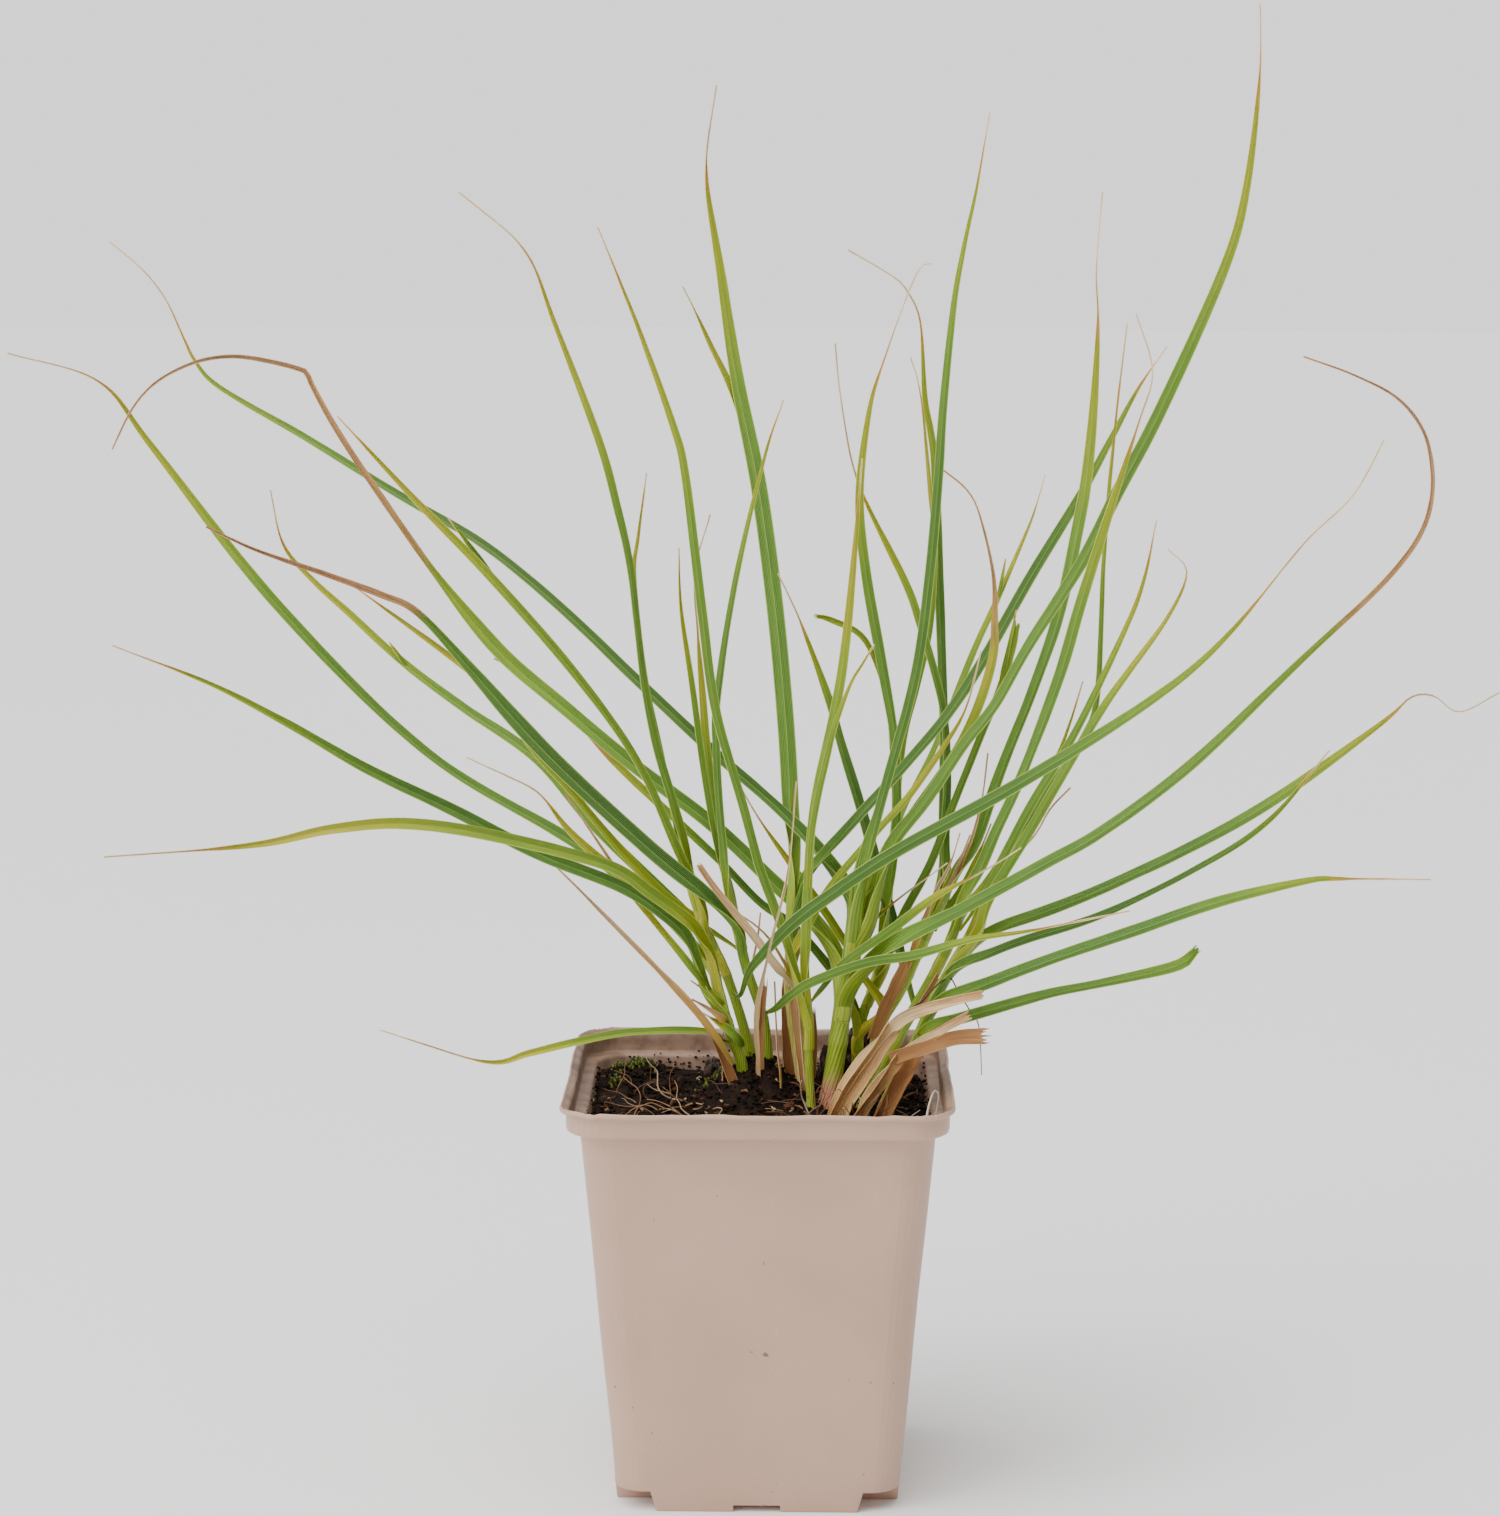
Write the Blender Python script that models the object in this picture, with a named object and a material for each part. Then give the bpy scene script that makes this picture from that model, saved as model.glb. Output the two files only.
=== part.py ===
"""Potted ornamental grass: a square thin-walled nursery pot, its compost, ten stems and their blades.

The origin is the middle of the pot's foot, X runs to the right and Y away from the front.
"""
import math

import bmesh
import bpy
from mathutils import Vector

MM = 0.001

# Pot, in millimetres.
RIM_WIDTH = 91.4
HEIGHT = 98.9
WALL = 0.95
COLLAR_WIDTH = 88.7
BODY_TOP_WIDTH = 82.7
BODY_TOP_Z = 92.1
FOOT_WIDTH = 66.3
RIM_CORNER = 9.5
FOOT_CORNER = 6.5
LIP_THICKNESS = 1.0
CORNER_RAISE = 4.9
TAB_WIDTH = (45.1, 50.3)
CHANNEL_WIDTH = 11.3
CHANNEL_HEIGHT = 1.6
DRAIN_RADIUS = 2.0
DRAIN_PLACE = 27.6

# Compost, in millimetres.
CLEARANCE = 0.3
COMPOST_LEVEL = 87.9
# Each rise of the surface: middle x, middle y, height, spread.
RISES = [(-1, 9, 9.5, 8), (24, 2, 3.0, 10), (-32, 30, 3.0, 9)]
SOCKET_DEPTH = 0.3
SOCKET_ROOM = 1.0

# Blades, in millimetres.
BLADE_THICKNESS = 0.5
TIP_WIDTH = 0.55
FOLD = 0.14
POINT_SPACING = 15.0

# Stems: name, radius at the base, radius at the top, route from the base up.
STEMS = [
    ("stem_left_front", 1.4, 1.1,
     [(-1.5, 1, 87), (-2.8, 0, 96.7), (-5.2, 0, 103), (-8.6, 0, 114.6), (-10, 0, 119.7)]),
    ("stem_left_middle", 1.4, 0.9,
     [(0.5, 7.5, 89), (-0.3, 7, 95.3), (-3.4, 7, 106.8), (-7.8, 7, 119.1), (-11.4, 7, 125.4),
      (-15.3, 7, 137.7)]),
    ("stem_left_back", 1.4, 1.0,
     [(4, 3.5, 87), (3.6, 3, 94.7), (2.4, 3, 106.3), (-1.7, 3, 118.5), (-3.9, 3, 127.9),
      (-5.3, 3, 133.7)]),
    ("sheath_centre", 1.6, 1.1,
     [(12.9, 2, 81), (12.4, 2, 88), (10.5, 2, 100), (8.6, 2, 114.5), (9, 2, 126), (9.4, 2, 133.5)]),
    ("stem_centre", 1.0, 0.9,
     [(14.3, -8, 81), (14, -8, 88), (13.4, -8, 97), (13.3, -8, 107), (12.9, -8, 112.3)]),
    ("stem_right_thick", 2.5, 1.8,
     [(17.6, -5, 81), (18.1, -5, 87), (20.1, -5, 101), (21.5, -5, 111.9), (22.7, -5, 118),
      (24.6, -5, 132.9)]),
    ("stem_right_rear", 1.5, 1.1,
     [(24.5, 15, 82), (25, 14.5, 92), (25.6, 14, 101), (27.1, 14, 106.8), (29.7, 14, 113.1),
      (31.2, 14, 120.8)]),
    ("stem_right_upper", 1.5, 1.1,
     [(27.5, 7, 81), (29, 7, 97), (31, 6.5, 105), (34.9, 6, 111.7), (38, 6, 118), (43.8, 6, 131.7)]),
    ("stem_right_middle", 1.5, 1.1,
     [(25.2, -6, 81), (26, -6, 87), (31, -6, 95.7), (36, -6, 106.7), (42, -6, 117.4),
      (48.1, -6, 129.5)]),
    ("stem_right_outer", 1.4, 1.1,
     [(29.8, -12, 82), (30.8, -12, 88), (35.2, -12, 98.1), (39.2, -12, 105.9), (43.2, -12, 115.3),
      (51, -12, 129.5)]),
]

# Blades: name, greatest width, roll from facing forward, route from the stem to the tip.
GREEN_BLADES = [
    ("left_blade_1", 2.4, 35,
     [(-12.5, 4, 121), (-39.5, 9, 144.4), (-80.1, 20, 166.5), (-118, 28, 201.5), (-150, 31, 240.7),
      (-163, 28, 257.3), (-184, 20, 264.6)]),
    ("left_blade_2", 2.9, 35,
     [(24.2, 1, 133.4), (20.9, 3, 139.2), (7.2, 7, 154.6), (-11.7, 11, 170.4), (-28.7, 17, 185.1),
      (-49, 26, 202.6), (-68.8, 36, 216.8), (-90.2, 46, 227.6), (-115.3, 57, 241.3),
      (-138.8, 67, 253.4), (-149.3, 73, 266.2), (-170.6, 84, 290.5)]),
    ("left_blade_3", 3.8, 25,
     [(20.6, 0, 119.2), (17.7, 1, 125.2), (9.1, 7, 133.4), (-9.3, 10, 150.7), (-29.7, 13, 165.3),
      (-48.4, 17, 180), (-62.6, 20, 191.5), (-77.7, 20, 209.6), (-92.3, 19, 230.3), (-102.5, 17, 246),
      (-110, 15, 260), (-118.7, 12, 263.3), (-127, 7, 264.7), (-135.5, 1, 263.5), (-149.5, -5, 251.5),
      (-153.6, -6, 243.6)]),
    ("left_blade_4", 2.2, 30,
     [(-12.5, 2, 132.7), (-17.7, 0, 145.3), (-28.3, -4, 169.1), (-43.3, -8, 190.9), (-62.9, -12, 214.1),
      (-80.2, -16, 232.4), (-98.1, -20, 252.2)]),
    ("left_blade_5", 4.2, 20,
     [(-4, -0.5, 129), (-13.5, -3, 138.4), (-25.8, -7, 149.4), (-43.1, -12, 166.1), (-54.8, -16, 178.8),
      (-67.7, -20, 194.3), (-78.7, -24, 206.8), (-86.6, -27, 211.1), (-100.8, -32, 217),
      (-114.8, -38, 222.7), (-125.3, -43, 228.4)]),
    ("left_blade_6", 2.4, 35,
     [(-12.9, 10, 127.3), (-19.7, 11, 132.1), (-32, 10, 144.7), (-44.1, 6, 159.6), (-53.7, 2, 171),
      (-62.5, -2, 184.6), (-74.4, -5, 195.2), (-95.4, -11, 211.6)]),
    ("left_blade_7", 2.4, 35,
     [(-4.5, 7.5, 122.5), (-9.3, 11, 124.9), (-16.5, 15, 129), (-38.6, 20, 148.7), (-54.3, 28, 164.6),
      (-73.9, 38, 175.8), (-90.2, 46, 186.4), (-103.5, 52, 197.2), (-113, 55, 205.2), (-120.9, 56, 214.3),
      (-123.8, 53, 228.5)]),
    ("left_blade_8", 3.2, 35,
     [(-11.5, -3, 114.5), (-15.9, -5, 126.9), (-21.9, -8, 133.7), (-31.7, -12, 140.8), (-51, -20, 150),
      (-69.5, -28, 161), (-88.6, -36, 171.6), (-105.2, -44, 182.7), (-122.5, -52, 193.4),
      (-143.3, -62, 203.5)]),
    ("left_blade_9", 3.1, 25,
     [(-10.2, -1, 121.8), (-12.3, -3, 126), (-16, -7, 131.8), (-24.8, -14, 139.8), (-34.1, -22, 147.4),
      (-58.1, -38, 156.7), (-78, -50, 161.8), (-94.4, -60, 162.2), (-110.4, -69, 160.2),
      (-141, -84, 160.1)]),
    ("left_blade_10", 2.2, 40,
     [(-7.8, -2, 102.4), (-10.7, -2, 104.3), (-29.2, 0, 103.4), (-42.7, 2, 100.5), (-53.8, 3, 97.6),
      (-64.7, 4, 95.3), (-89.7, 2, 103.2)]),
    ("left_blade_11", 2.4, 30,
     [(24, 13, 107), (17.3, 11, 117.9), (9.1, 10, 127.3), (1.1, 11, 132.6), (-9.4, 13, 142.9),
      (-24.8, 18, 156.2), (-36.3, 22, 166.3), (-52.3, 27, 182.5), (-64.9, 28, 189.3)]),
    ("upper_blade_1", 2.2, 25,
     [(-15.7, 6, 140.1), (-17.6, 4, 149.4), (-20.1, 1, 160.2), (-23.6, -3, 173), (-26.5, -7, 188.4),
      (-28, -10, 201.3), (-29.8, -13, 217.5), (-32.7, -15, 230.9), (-36.9, -17, 246.8),
      (-47.4, -18, 274.4), (-54.7, -17, 291.5), (-70.4, -15, 304.9)]),
    ("upper_blade_2", 1.7, 25,
     [(-16.8, 9.5, 140.9), (-19.8, 6.5, 156), (-22.7, 5, 169.4), (-26.9, 4, 189.3), (-29.4, 6, 211.9),
      (-28.5, 7, 221.7), (-26.6, 8, 237)]),
    ("upper_blade_3", 2.0, 25,
     [(-5.8, 2, 136.3), (-8.1, 1, 154.9), (-9.1, 0, 170.9), (-9, -1, 183.3), (-4.9, -3, 211),
      (2, -2, 241.4), (6.5, 0, 255.2)]),
    ("upper_blade_4", 2.4, 20,
     [(11.1, -9.5, 115.4), (9.2, -9, 121.3), (5.6, -8, 133.3), (1.4, -8, 144.4), (-2.7, -9, 159.5),
      (-9.3, -10, 182.3), (-12.7, -9, 206.2), (-16.8, -6, 237.4), (-19.9, -4, 249.4), (-29.3, 2, 274.2),
      (-38.7, 8, 296.2)]),
    ("upper_blade_5", 1.7, 25,
     [(-7, 6.5, 138.5), (-9.8, 4.5, 151), (-12.6, 4.5, 167.7), (-15.2, 4, 186.1), (-18, 3, 204.7),
      (-18.5, 2, 219.5)]),
    ("upper_blade_6", 3.9, 15,
     [(9, 1.5, 135.2), (9.1, 3, 141.6), (8.6, 11, 153.9), (7.4, 17, 174.5), (4.6, 24, 201.8),
      (0.1, 32, 231.8), (-5.5, 39, 257.4), (-10.1, 46, 285.1), (-13.8, 52, 309.9), (-11.4, 58, 331.5)]),
    ("upper_blade_7", 1.1, 20,
     [(31.5, 17.5, 122), (32, 19, 136.7), (33.8, 20, 152.4), (33.3, 21, 167.6), (31.8, 21, 181.6),
      (26.4, 18, 195.7), (18.3, 15, 200.7), (14.4, 14, 201.8)]),
    ("upper_blade_8", 2.7, 20,
     [(31.4, 13, 124.5), (33.6, 13, 142), (34.8, 12, 156.7), (34, 10, 172.5), (30.6, 8, 191.4),
      (26.5, 6, 213.1), (24.8, 5, 231.7), (26.9, 6, 250.7), (29.9, 8, 262.1), (38.4, 12, 284.9),
      (42.3, 13, 287.6)]),
    ("upper_blade_9", 2.1, 20,
     [(12.9, -7.2, 113.6), (12.7, -6, 127.3), (13, -5, 138.6), (14.6, -4, 158.8), (19.4, -3, 181.9),
      (21.8, -2, 198.7), (24, -1, 222.9), (25.4, -1, 241.4)]),
    ("upper_blade_10", 2.0, 30,
     [(45.6, 8, 134), (45.6, 9, 145.1), (45.9, 10, 154.1), (46.1, 10, 165.7), (44.7, 10, 181.7),
      (39.2, 13, 201.2), (35.6, 15, 210.9), (24.5, 19, 234.2), (20.3, 18, 254.7), (18.8, 16, 268)]),
    ("upper_blade_11", 2.4, 25,
     [(24.8, -6, 136.6), (27.2, -7, 148), (31.2, -9, 164.2), (38, -13, 191.1), (41.2, -16, 215.5),
      (43.2, -18, 239.6), (44.2, -18, 255.4), (47.3, -15, 283.2), (52.1, -9, 306), (55.4, -4, 324.3)]),
    ("upper_blade_12", 2.0, 30,
     [(26.6, -1, 135.7), (35.5, 2, 151.9), (46.4, 4, 167.2), (51.2, 5, 175.4), (54.9, 5, 184.4),
      (57.2, 2, 194.3), (57.3, -1, 201.9), (56.7, -5, 214.4), (53.2, -9, 228.8), (50, -11, 234.9),
      (44.5, -11, 239.5)]),
    ("upper_blade_13", 2.5, 20,
     [(44.6, 9, 138), (45.4, 13, 148), (45.7, 18, 163.8), (45.9, 22, 173.2), (45.4, 22, 187.3),
      (44.5, 22, 211.7), (43.5, 22, 236.7), (42.4, 22, 246.1), (40.9, 22, 254.5), (39.8, 22, 272.8),
      (36.5, 22, 280.5), (32.8, 22, 284.3), (22, 22, 290.6)]),
    ("right_blade_1", 2.0, 40,
     [(33, 20, 126.7), (34.9, 26, 147.7), (44.6, 36, 166.8), (54.6, 50, 188.9), (61.4, 60, 201.9),
      (70, 72, 219.6), (74.1, 80, 230.8)]),
    ("right_blade_2", 2.9, 30,
     [(11.5, 0.5, 137.8), (13.7, 0, 142.2), (25.4, 0, 155.8), (35.3, 2, 166.3), (46.4, 3, 179.5),
      (55.7, 8, 193), (66.9, 18, 211.1), (80.3, 32, 230.6), (88.5, 42, 243.7), (95.9, 52, 255.4),
      (103.9, 62, 265.2)]),
    ("right_blade_3", 3.4, 25,
     [(27.5, -5, 131), (29.4, -4.5, 138.7), (33.7, -3, 149.9), (41.6, -3, 160.4), (50.2, -3, 173.3),
      (57.6, -4, 182.9), (65.6, -4, 197.2), (77.7, -5, 216.7), (86.4, -7, 234.7), (95.5, -9, 252.9),
      (110.3, -10, 286.6), (115.9, -8, 305.7), (119.6, -3, 332.4), (120, 0, 350.4)]),
    ("right_blade_4", 3.4, 25,
     [(44.9, 3, 134), (49.5, 3, 142.5), (53.3, 3, 148.8), (59.6, 3, 166.8), (66.5, 3, 184.1),
      (73.4, 6, 203.9), (78.1, 11, 224.9), (80.3, 15, 236.9), (82.3, 21, 254.3), (83.7, 28, 273.3),
      (83.6, 33, 285.8), (85.6, 40, 304.8)]),
    ("right_blade_5", 1.7, 30,
     [(49.7, -2, 132.2), (54.6, -1, 138.1), (60.5, -2, 147.8), (70.1, -2, 162.1), (78.8, 0, 175),
      (82.2, 1, 185.6), (83.8, 3, 219.6), (86.3, 4, 250.3), (89, 5, 273.6)]),
    ("right_blade_6", 3.1, 25,
     [(48.4, -7, 131.1), (50, -7, 136.6), (53.5, -8, 143.7), (57.3, -9, 152.8), (63.9, -10, 167.5),
      (72.3, -11, 190.8), (77.2, -12, 208.9), (84.6, -14, 233.4), (89.9, -16, 250.5), (93.3, -17, 263.3),
      (89.3, -17, 276.9)]),
    ("right_blade_7", 2.2, 30,
     [(53, -10.5, 132), (55.8, -11, 140.6), (65.1, -13, 159.9), (76.1, -14, 178.5), (87.5, -16, 203),
      (91.7, -17, 215.1), (94.2, -18, 228.4)]),
    ("right_blade_8", 2.4, 30,
     [(53.5, -14.5, 131), (56, -16, 139.7), (64.8, -19, 155.5), (80.3, -24, 183.2), (87.9, -26, 194.7),
      (96.1, -28, 206.8), (100.4, -29, 217.5), (96.2, -26, 222.6)]),
    ("right_blade_9", 3.2, 25,
     [(-3, -2, 113), (-1.1, -6, 119.2), (2.3, -10, 124.4), (9.2, -14, 132.5), (18.1, -16, 139.7),
      (33.3, -19, 150.6), (62.2, -27, 168.1), (91, -38, 188.4), (107.3, -44, 203.5), (124.5, -51, 226.3),
      (135.2, -54, 237.6), (141.9, -56, 250.4)]),
    ("right_blade_10", 3.1, 25,
     [(25, -9, 119.5), (35.8, -15, 129.2), (51.3, -22, 139), (68.7, -28, 149.9), (81.4, -32, 158),
      (101.1, -36, 173.9), (126.2, -38, 198.8), (147.5, -32, 217.9), (157.4, -22, 231.1),
      (158.6, -13, 246.1), (153, -8, 255.9), (142.5, -5, 261.9), (130.3, -3, 266.3)]),
    ("right_blade_11", 2.4, 30,
     [(3.2, -1, 108.7), (5.6, -6, 110.9), (9.2, -12.5, 115.4), (14.6, -15, 119.3), (26.6, -16, 123.9),
      (37.8, -20, 126.5), (51.2, -24, 131), (64.2, -28, 133.9), (87, -34, 139.9)]),
    ("right_blade_12", 2.2, 30,
     [(20, -10, 121), (24.5, -11.5, 125), (33.5, -14, 132), (42.5, -18, 139.6), (55.8, -21, 147.5),
      (62.6, -24, 152.5)]),
    ("right_blade_13", 1.5, 30,
     [(14.5, -4.5, 113), (18.5, 4, 116), (22.3, 5, 121.2), (26.4, 5, 127.3), (33.9, 4, 134.5),
      (46.4, 2, 144.2)]),
    ("right_blade_14", 3.1, 35,
     [(52.5, -9, 127), (60.9, -7, 131.1), (80.3, -2, 137.5), (105.2, 5, 147.7), (126.7, 12, 158.6),
      (153, 21, 175.5), (160.5, 24, 181.4), (166.5, 26, 181.4), (173, 28, 177.2), (183.2, 30, 181.8)]),
    ("right_blade_15", 2.2, 35,
     [(47.5, -15.5, 122), (55.9, -18, 126.7), (64.8, -19, 130.4), (82.4, -19, 136.1), (103, -17, 145.8),
      (120.7, -14, 156.8), (136.3, -8, 173.1)]),
    ("right_blade_16", 3.3, 35,
     [(44, -16, 114.5), (51.4, -20, 118.4), (68.5, -30, 127.3), (87.4, -40, 136.2), (106.2, -48, 144.7),
      (124.8, -56, 151.1), (132.2, -59, 152.2), (151.1, -66, 153.5)]),
    ("right_blade_17", 2.4, 35,
     [(41.5, -15.5, 108), (50.3, -18, 111.7), (68.7, -24, 118.2), (81.7, -28, 121.8), (97.9, -33, 127),
      (102.7, -34, 131.1)]),
    ("right_blade_18", 2.0, 25,
     [(10.5, -2, 124), (17.3, -2.5, 137.6), (29.7, -1.5, 152.5), (37.1, 0, 160.6), (45.5, 0, 172.8),
      (50.5, -1, 181.9), (54, -2, 195.6)]),
    ("right_blade_19", 2.2, 25,
     [(32.5, 9.5, 119), (35.4, 9, 128.9), (42.4, 6, 143), (46.9, 5, 154.9), (53.2, 7, 170.5),
      (59.6, 9, 186.2), (63.5, 10, 200.6)]),
    ("right_blade_20", 2.2, 25,
     [(31, 10.5, 107), (26.5, 9.5, 115), (22.2, 9, 122.9), (15.6, 10, 132.8), (7.9, 9, 143.6),
      (1.1, 7, 153.6), (-3.6, 5, 161.9)]),
]
DRY_BLADES = [
    ("dry_blade_1", 4.4, 20,
     [(18.5, -12, 86.5), (20.3, -13, 91.3), (26.9, -14, 101.4), (32.3, -15, 107.8), (35.7, -17.5, 111.5),
      (40.3, -21, 114.2), (46.7, -24, 116.5), (53.6, -27, 118.5)]),
    ("dry_blade_2", 2.0, 25,
     [(24.5, -16.5, 86.2), (26.6, -17, 90.8), (30.3, -17, 96.4), (35.5, -18, 102.5), (42, -21, 107.4),
      (50.7, -25, 113.7)]),
    ("dry_blade_3", 2.2, 25,
     [(13.7, -3, 87.5), (12, -3, 102.4), (11.5, -3, 109.8), (9.9, -3, 114.6), (4.6, -4, 121.4),
      (-0.2, -4, 127.9), (-9.2, -6, 139.2), (-13.2, -7, 144.9)]),
    ("dry_blade_4", 1.5, 20,
     [(1.6, -3.6, 88.8), (1.3, -4, 98.5), (0.8, -6, 109.2), (2.1, -10, 117.3), (4.7, -17, 130.5),
      (6.8, -18, 138.7), (8.5, -17, 147.5), (10.1, -14, 166.2)]),
]


# The routes were laid out on an upright front plane; the clump leans in a little from there as it rises.
LAYOUT_MIDDLE = 12.0
LAYOUT_SHIFT = -1.6
LAYOUT_FRONT = 936.0
LAYOUT_TOP = 315.0


def stood(route):
    """The route's points drawn in towards the clump's middle with height, and set on the pot's foot."""
    placed = []
    for x, y, z in route:
        reach = LAYOUT_FRONT + y
        rise = (z - LAYOUT_TOP) / reach
        gather = 1.0115 + 0.1491 * rise
        placed.append((LAYOUT_SHIFT + LAYOUT_MIDDLE + 0.977 * (x - LAYOUT_MIDDLE) / gather, y,
                       LAYOUT_TOP + (0.9655 * rise - 0.0025) * reach / gather + 3.9))
    return placed


STEMS = [(*stem[:-1], stood(stem[-1])) for stem in STEMS]
GREEN_BLADES = [(*blade[:-1], stood(blade[-1])) for blade in GREEN_BLADES]
DRY_BLADES = [(*blade[:-1], stood(blade[-1])) for blade in DRY_BLADES]


def material(name, colour, roughness):
    """A plain opaque material, colour in linear red, green and blue."""
    made = bpy.data.materials.new(name)
    made.use_nodes = True
    shader = made.node_tree.nodes["Principled BSDF"]
    shader.inputs["Base Color"].default_value = (*colour, 1)
    shader.inputs["Roughness"].default_value = roughness
    shader.inputs["Metallic"].default_value = 0.0
    return made


def skin(name, rings, finish=None, apex=None):
    """A closed solid through rings of equally many points in millimetres, each anticlockwise from above.

    apex, where given, closes the last ring with a fan instead of one flat face.
    """
    shape = bmesh.new()
    loops = [[shape.verts.new(Vector(p) * MM) for p in ring] for ring in rings]
    shape.faces.new(reversed(loops[0]))
    for low, high in zip(loops, loops[1:]):
        for i in range(len(low)):
            j = (i + 1) % len(low)
            shape.faces.new((low[i], low[j], high[j], high[i]))
    if apex is None:
        shape.faces.new(loops[-1])
    else:
        top = shape.verts.new(Vector(apex) * MM)
        for i in range(len(loops[-1])):
            shape.faces.new((loops[-1][i], loops[-1][(i + 1) % len(loops[-1])], top))
    bmesh.ops.recalc_face_normals(shape, faces=shape.faces)
    mesh = bpy.data.meshes.new(name)
    shape.to_mesh(mesh)
    shape.free()
    made = bpy.data.objects.new(name, mesh)
    bpy.context.collection.objects.link(made)
    if finish:
        mesh.materials.append(finish)
        mesh.shade_smooth()
        mesh.set_sharp_from_angle(angle=math.radians(40))
    return made


def cut(target, cutters):
    """Subtracts each cutter from the target and keeps the cutters as hidden guides."""
    for cutter in cutters:
        cutter.hide_render = True
        cutter.display_type = "WIRE"
        taken = target.modifiers.new("cut_" + cutter.name, "BOOLEAN")
        taken.operation = "DIFFERENCE"
        taken.solver = "EXACT"
        taken.object = cutter


def rounded_square(half, corner, z, steps=4):
    """A ring round a square with arcs at its corners."""
    ring = []
    for quarter in range(4):
        for step in range(steps + 1):
            angle = math.radians(90 * (quarter + step / steps))
            side_x = (half - corner) * (1 if quarter in (0, 3) else -1)
            side_y = (half - corner) * (1 if quarter in (0, 1) else -1)
            ring.append((side_x + corner * math.cos(angle), side_y + corner * math.sin(angle), z))
    return ring


def body_half(z):
    """Half the pot body's outer width at a height."""
    return (FOOT_WIDTH + (BODY_TOP_WIDTH - FOOT_WIDTH) * z / BODY_TOP_Z) / 2


def body_corner(z):
    """The corner radius of the pot body at a height."""
    return FOOT_CORNER + (RIM_CORNER - FOOT_CORNER) * z / BODY_TOP_Z


def disc(name, x, y, radius, low, high, sides=12):
    """An upright cylinder between two heights."""
    turns = [math.tau * (i + 0.5) / sides for i in range(sides)]
    return skin(name, [[(x + radius * math.cos(a), y + radius * math.sin(a), z) for a in turns]
                       for z in (low, high)])


def foot_cutters(label, grow):
    """The raised corners and the crossing channels under the pot, grown by a wall thickness."""
    made = []
    reach = FOOT_WIDTH / 2 + 12
    for side_x in (1, -1):
        for side_y in (1, -1):
            rings = []
            for width, z in ((TAB_WIDTH[0], -2), (TAB_WIDTH[1], CORNER_RAISE)):
                near = width / 2 - grow
                corners = [(near, near), (reach, near), (reach, reach), (near, reach)]
                ring = [(side_x * x, side_y * y, z + (grow if z > 0 else 0)) for x, y in corners]
                rings.append(ring if side_x * side_y > 0 else ring[::-1])
            made.append(skin(f"{label}_corner_{side_x}_{side_y}", rings))
    half = CHANNEL_WIDTH / 2 + grow
    for along_x in (True, False):
        length = FOOT_WIDTH
        size = (length, half) if along_x else (half, length)
        rings = [[(sx * size[0], sy * size[1], z) for sx, sy in ((1, 1), (-1, 1), (-1, -1), (1, -1))]
                 for z in (-2, CHANNEL_HEIGHT + grow)]
        made.append(skin(f"{label}_channel_{'x' if along_x else 'y'}", rings))
    return made


def cavity(name, inset):
    """The inside of the pot, set in from the outer faces, with its foot features cut from it."""
    rings = [rounded_square(body_half(z) - inset, body_corner(z) - inset, z)
             for z in (inset, COMPOST_LEVEL, BODY_TOP_Z + 0.4)]
    collar = COLLAR_WIDTH / 2
    rings += [rounded_square(collar - 0.5 - inset, RIM_CORNER - inset, BODY_TOP_Z + 0.8),
              rounded_square(collar - inset, RIM_CORNER - inset, BODY_TOP_Z + 1.6),
              rounded_square(collar + 0.2 - inset, RIM_CORNER - inset, HEIGHT + 3)]
    hollow = skin(name, rings)
    cut(hollow, foot_cutters(name, inset))
    return hollow


def make_pot():
    """Tapered body, stepped collar and turned-out lip, hollow, with notched foot and drain holes."""
    collar = COLLAR_WIDTH / 2
    rings = [rounded_square(body_half(z), body_corner(z), z) for z in (0, CORNER_RAISE + 1, 60, BODY_TOP_Z)]
    rings += [rounded_square(collar - 0.7, RIM_CORNER, BODY_TOP_Z + 0.25),
              rounded_square(collar - 0.1, RIM_CORNER, BODY_TOP_Z + 0.9),
              rounded_square(collar, RIM_CORNER, HEIGHT - LIP_THICKNESS - 0.2),
              rounded_square(RIM_WIDTH / 2 - 0.3, RIM_CORNER, HEIGHT - LIP_THICKNESS),
              rounded_square(RIM_WIDTH / 2, RIM_CORNER, HEIGHT - LIP_THICKNESS / 2),
              rounded_square(RIM_WIDTH / 2 - 0.4, RIM_CORNER, HEIGHT)]
    pot = skin("pot", rings, material("taupe plastic", (0.47, 0.38, 0.31), 0.5))
    cut(pot, foot_cutters("foot", 0) + [cavity("hollow", WALL)])
    drains = [disc(f"drain_{x}_{y}", x * DRAIN_PLACE, y * DRAIN_PLACE, DRAIN_RADIUS, -1, 12)
              for x in (1, -1) for y in (1, -1)]
    cut(pot, drains)


def compost_height(x, y):
    """Height of the compost's surface, with its rises and small waves."""
    z = COMPOST_LEVEL + 0.5 * math.sin(0.31 * x + 1) * math.cos(0.27 * y)
    return z + sum(h * math.exp(-((x - cx) ** 2 + (y - cy) ** 2) / (2 * s * s)) for cx, cy, h, s in RISES)


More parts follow.
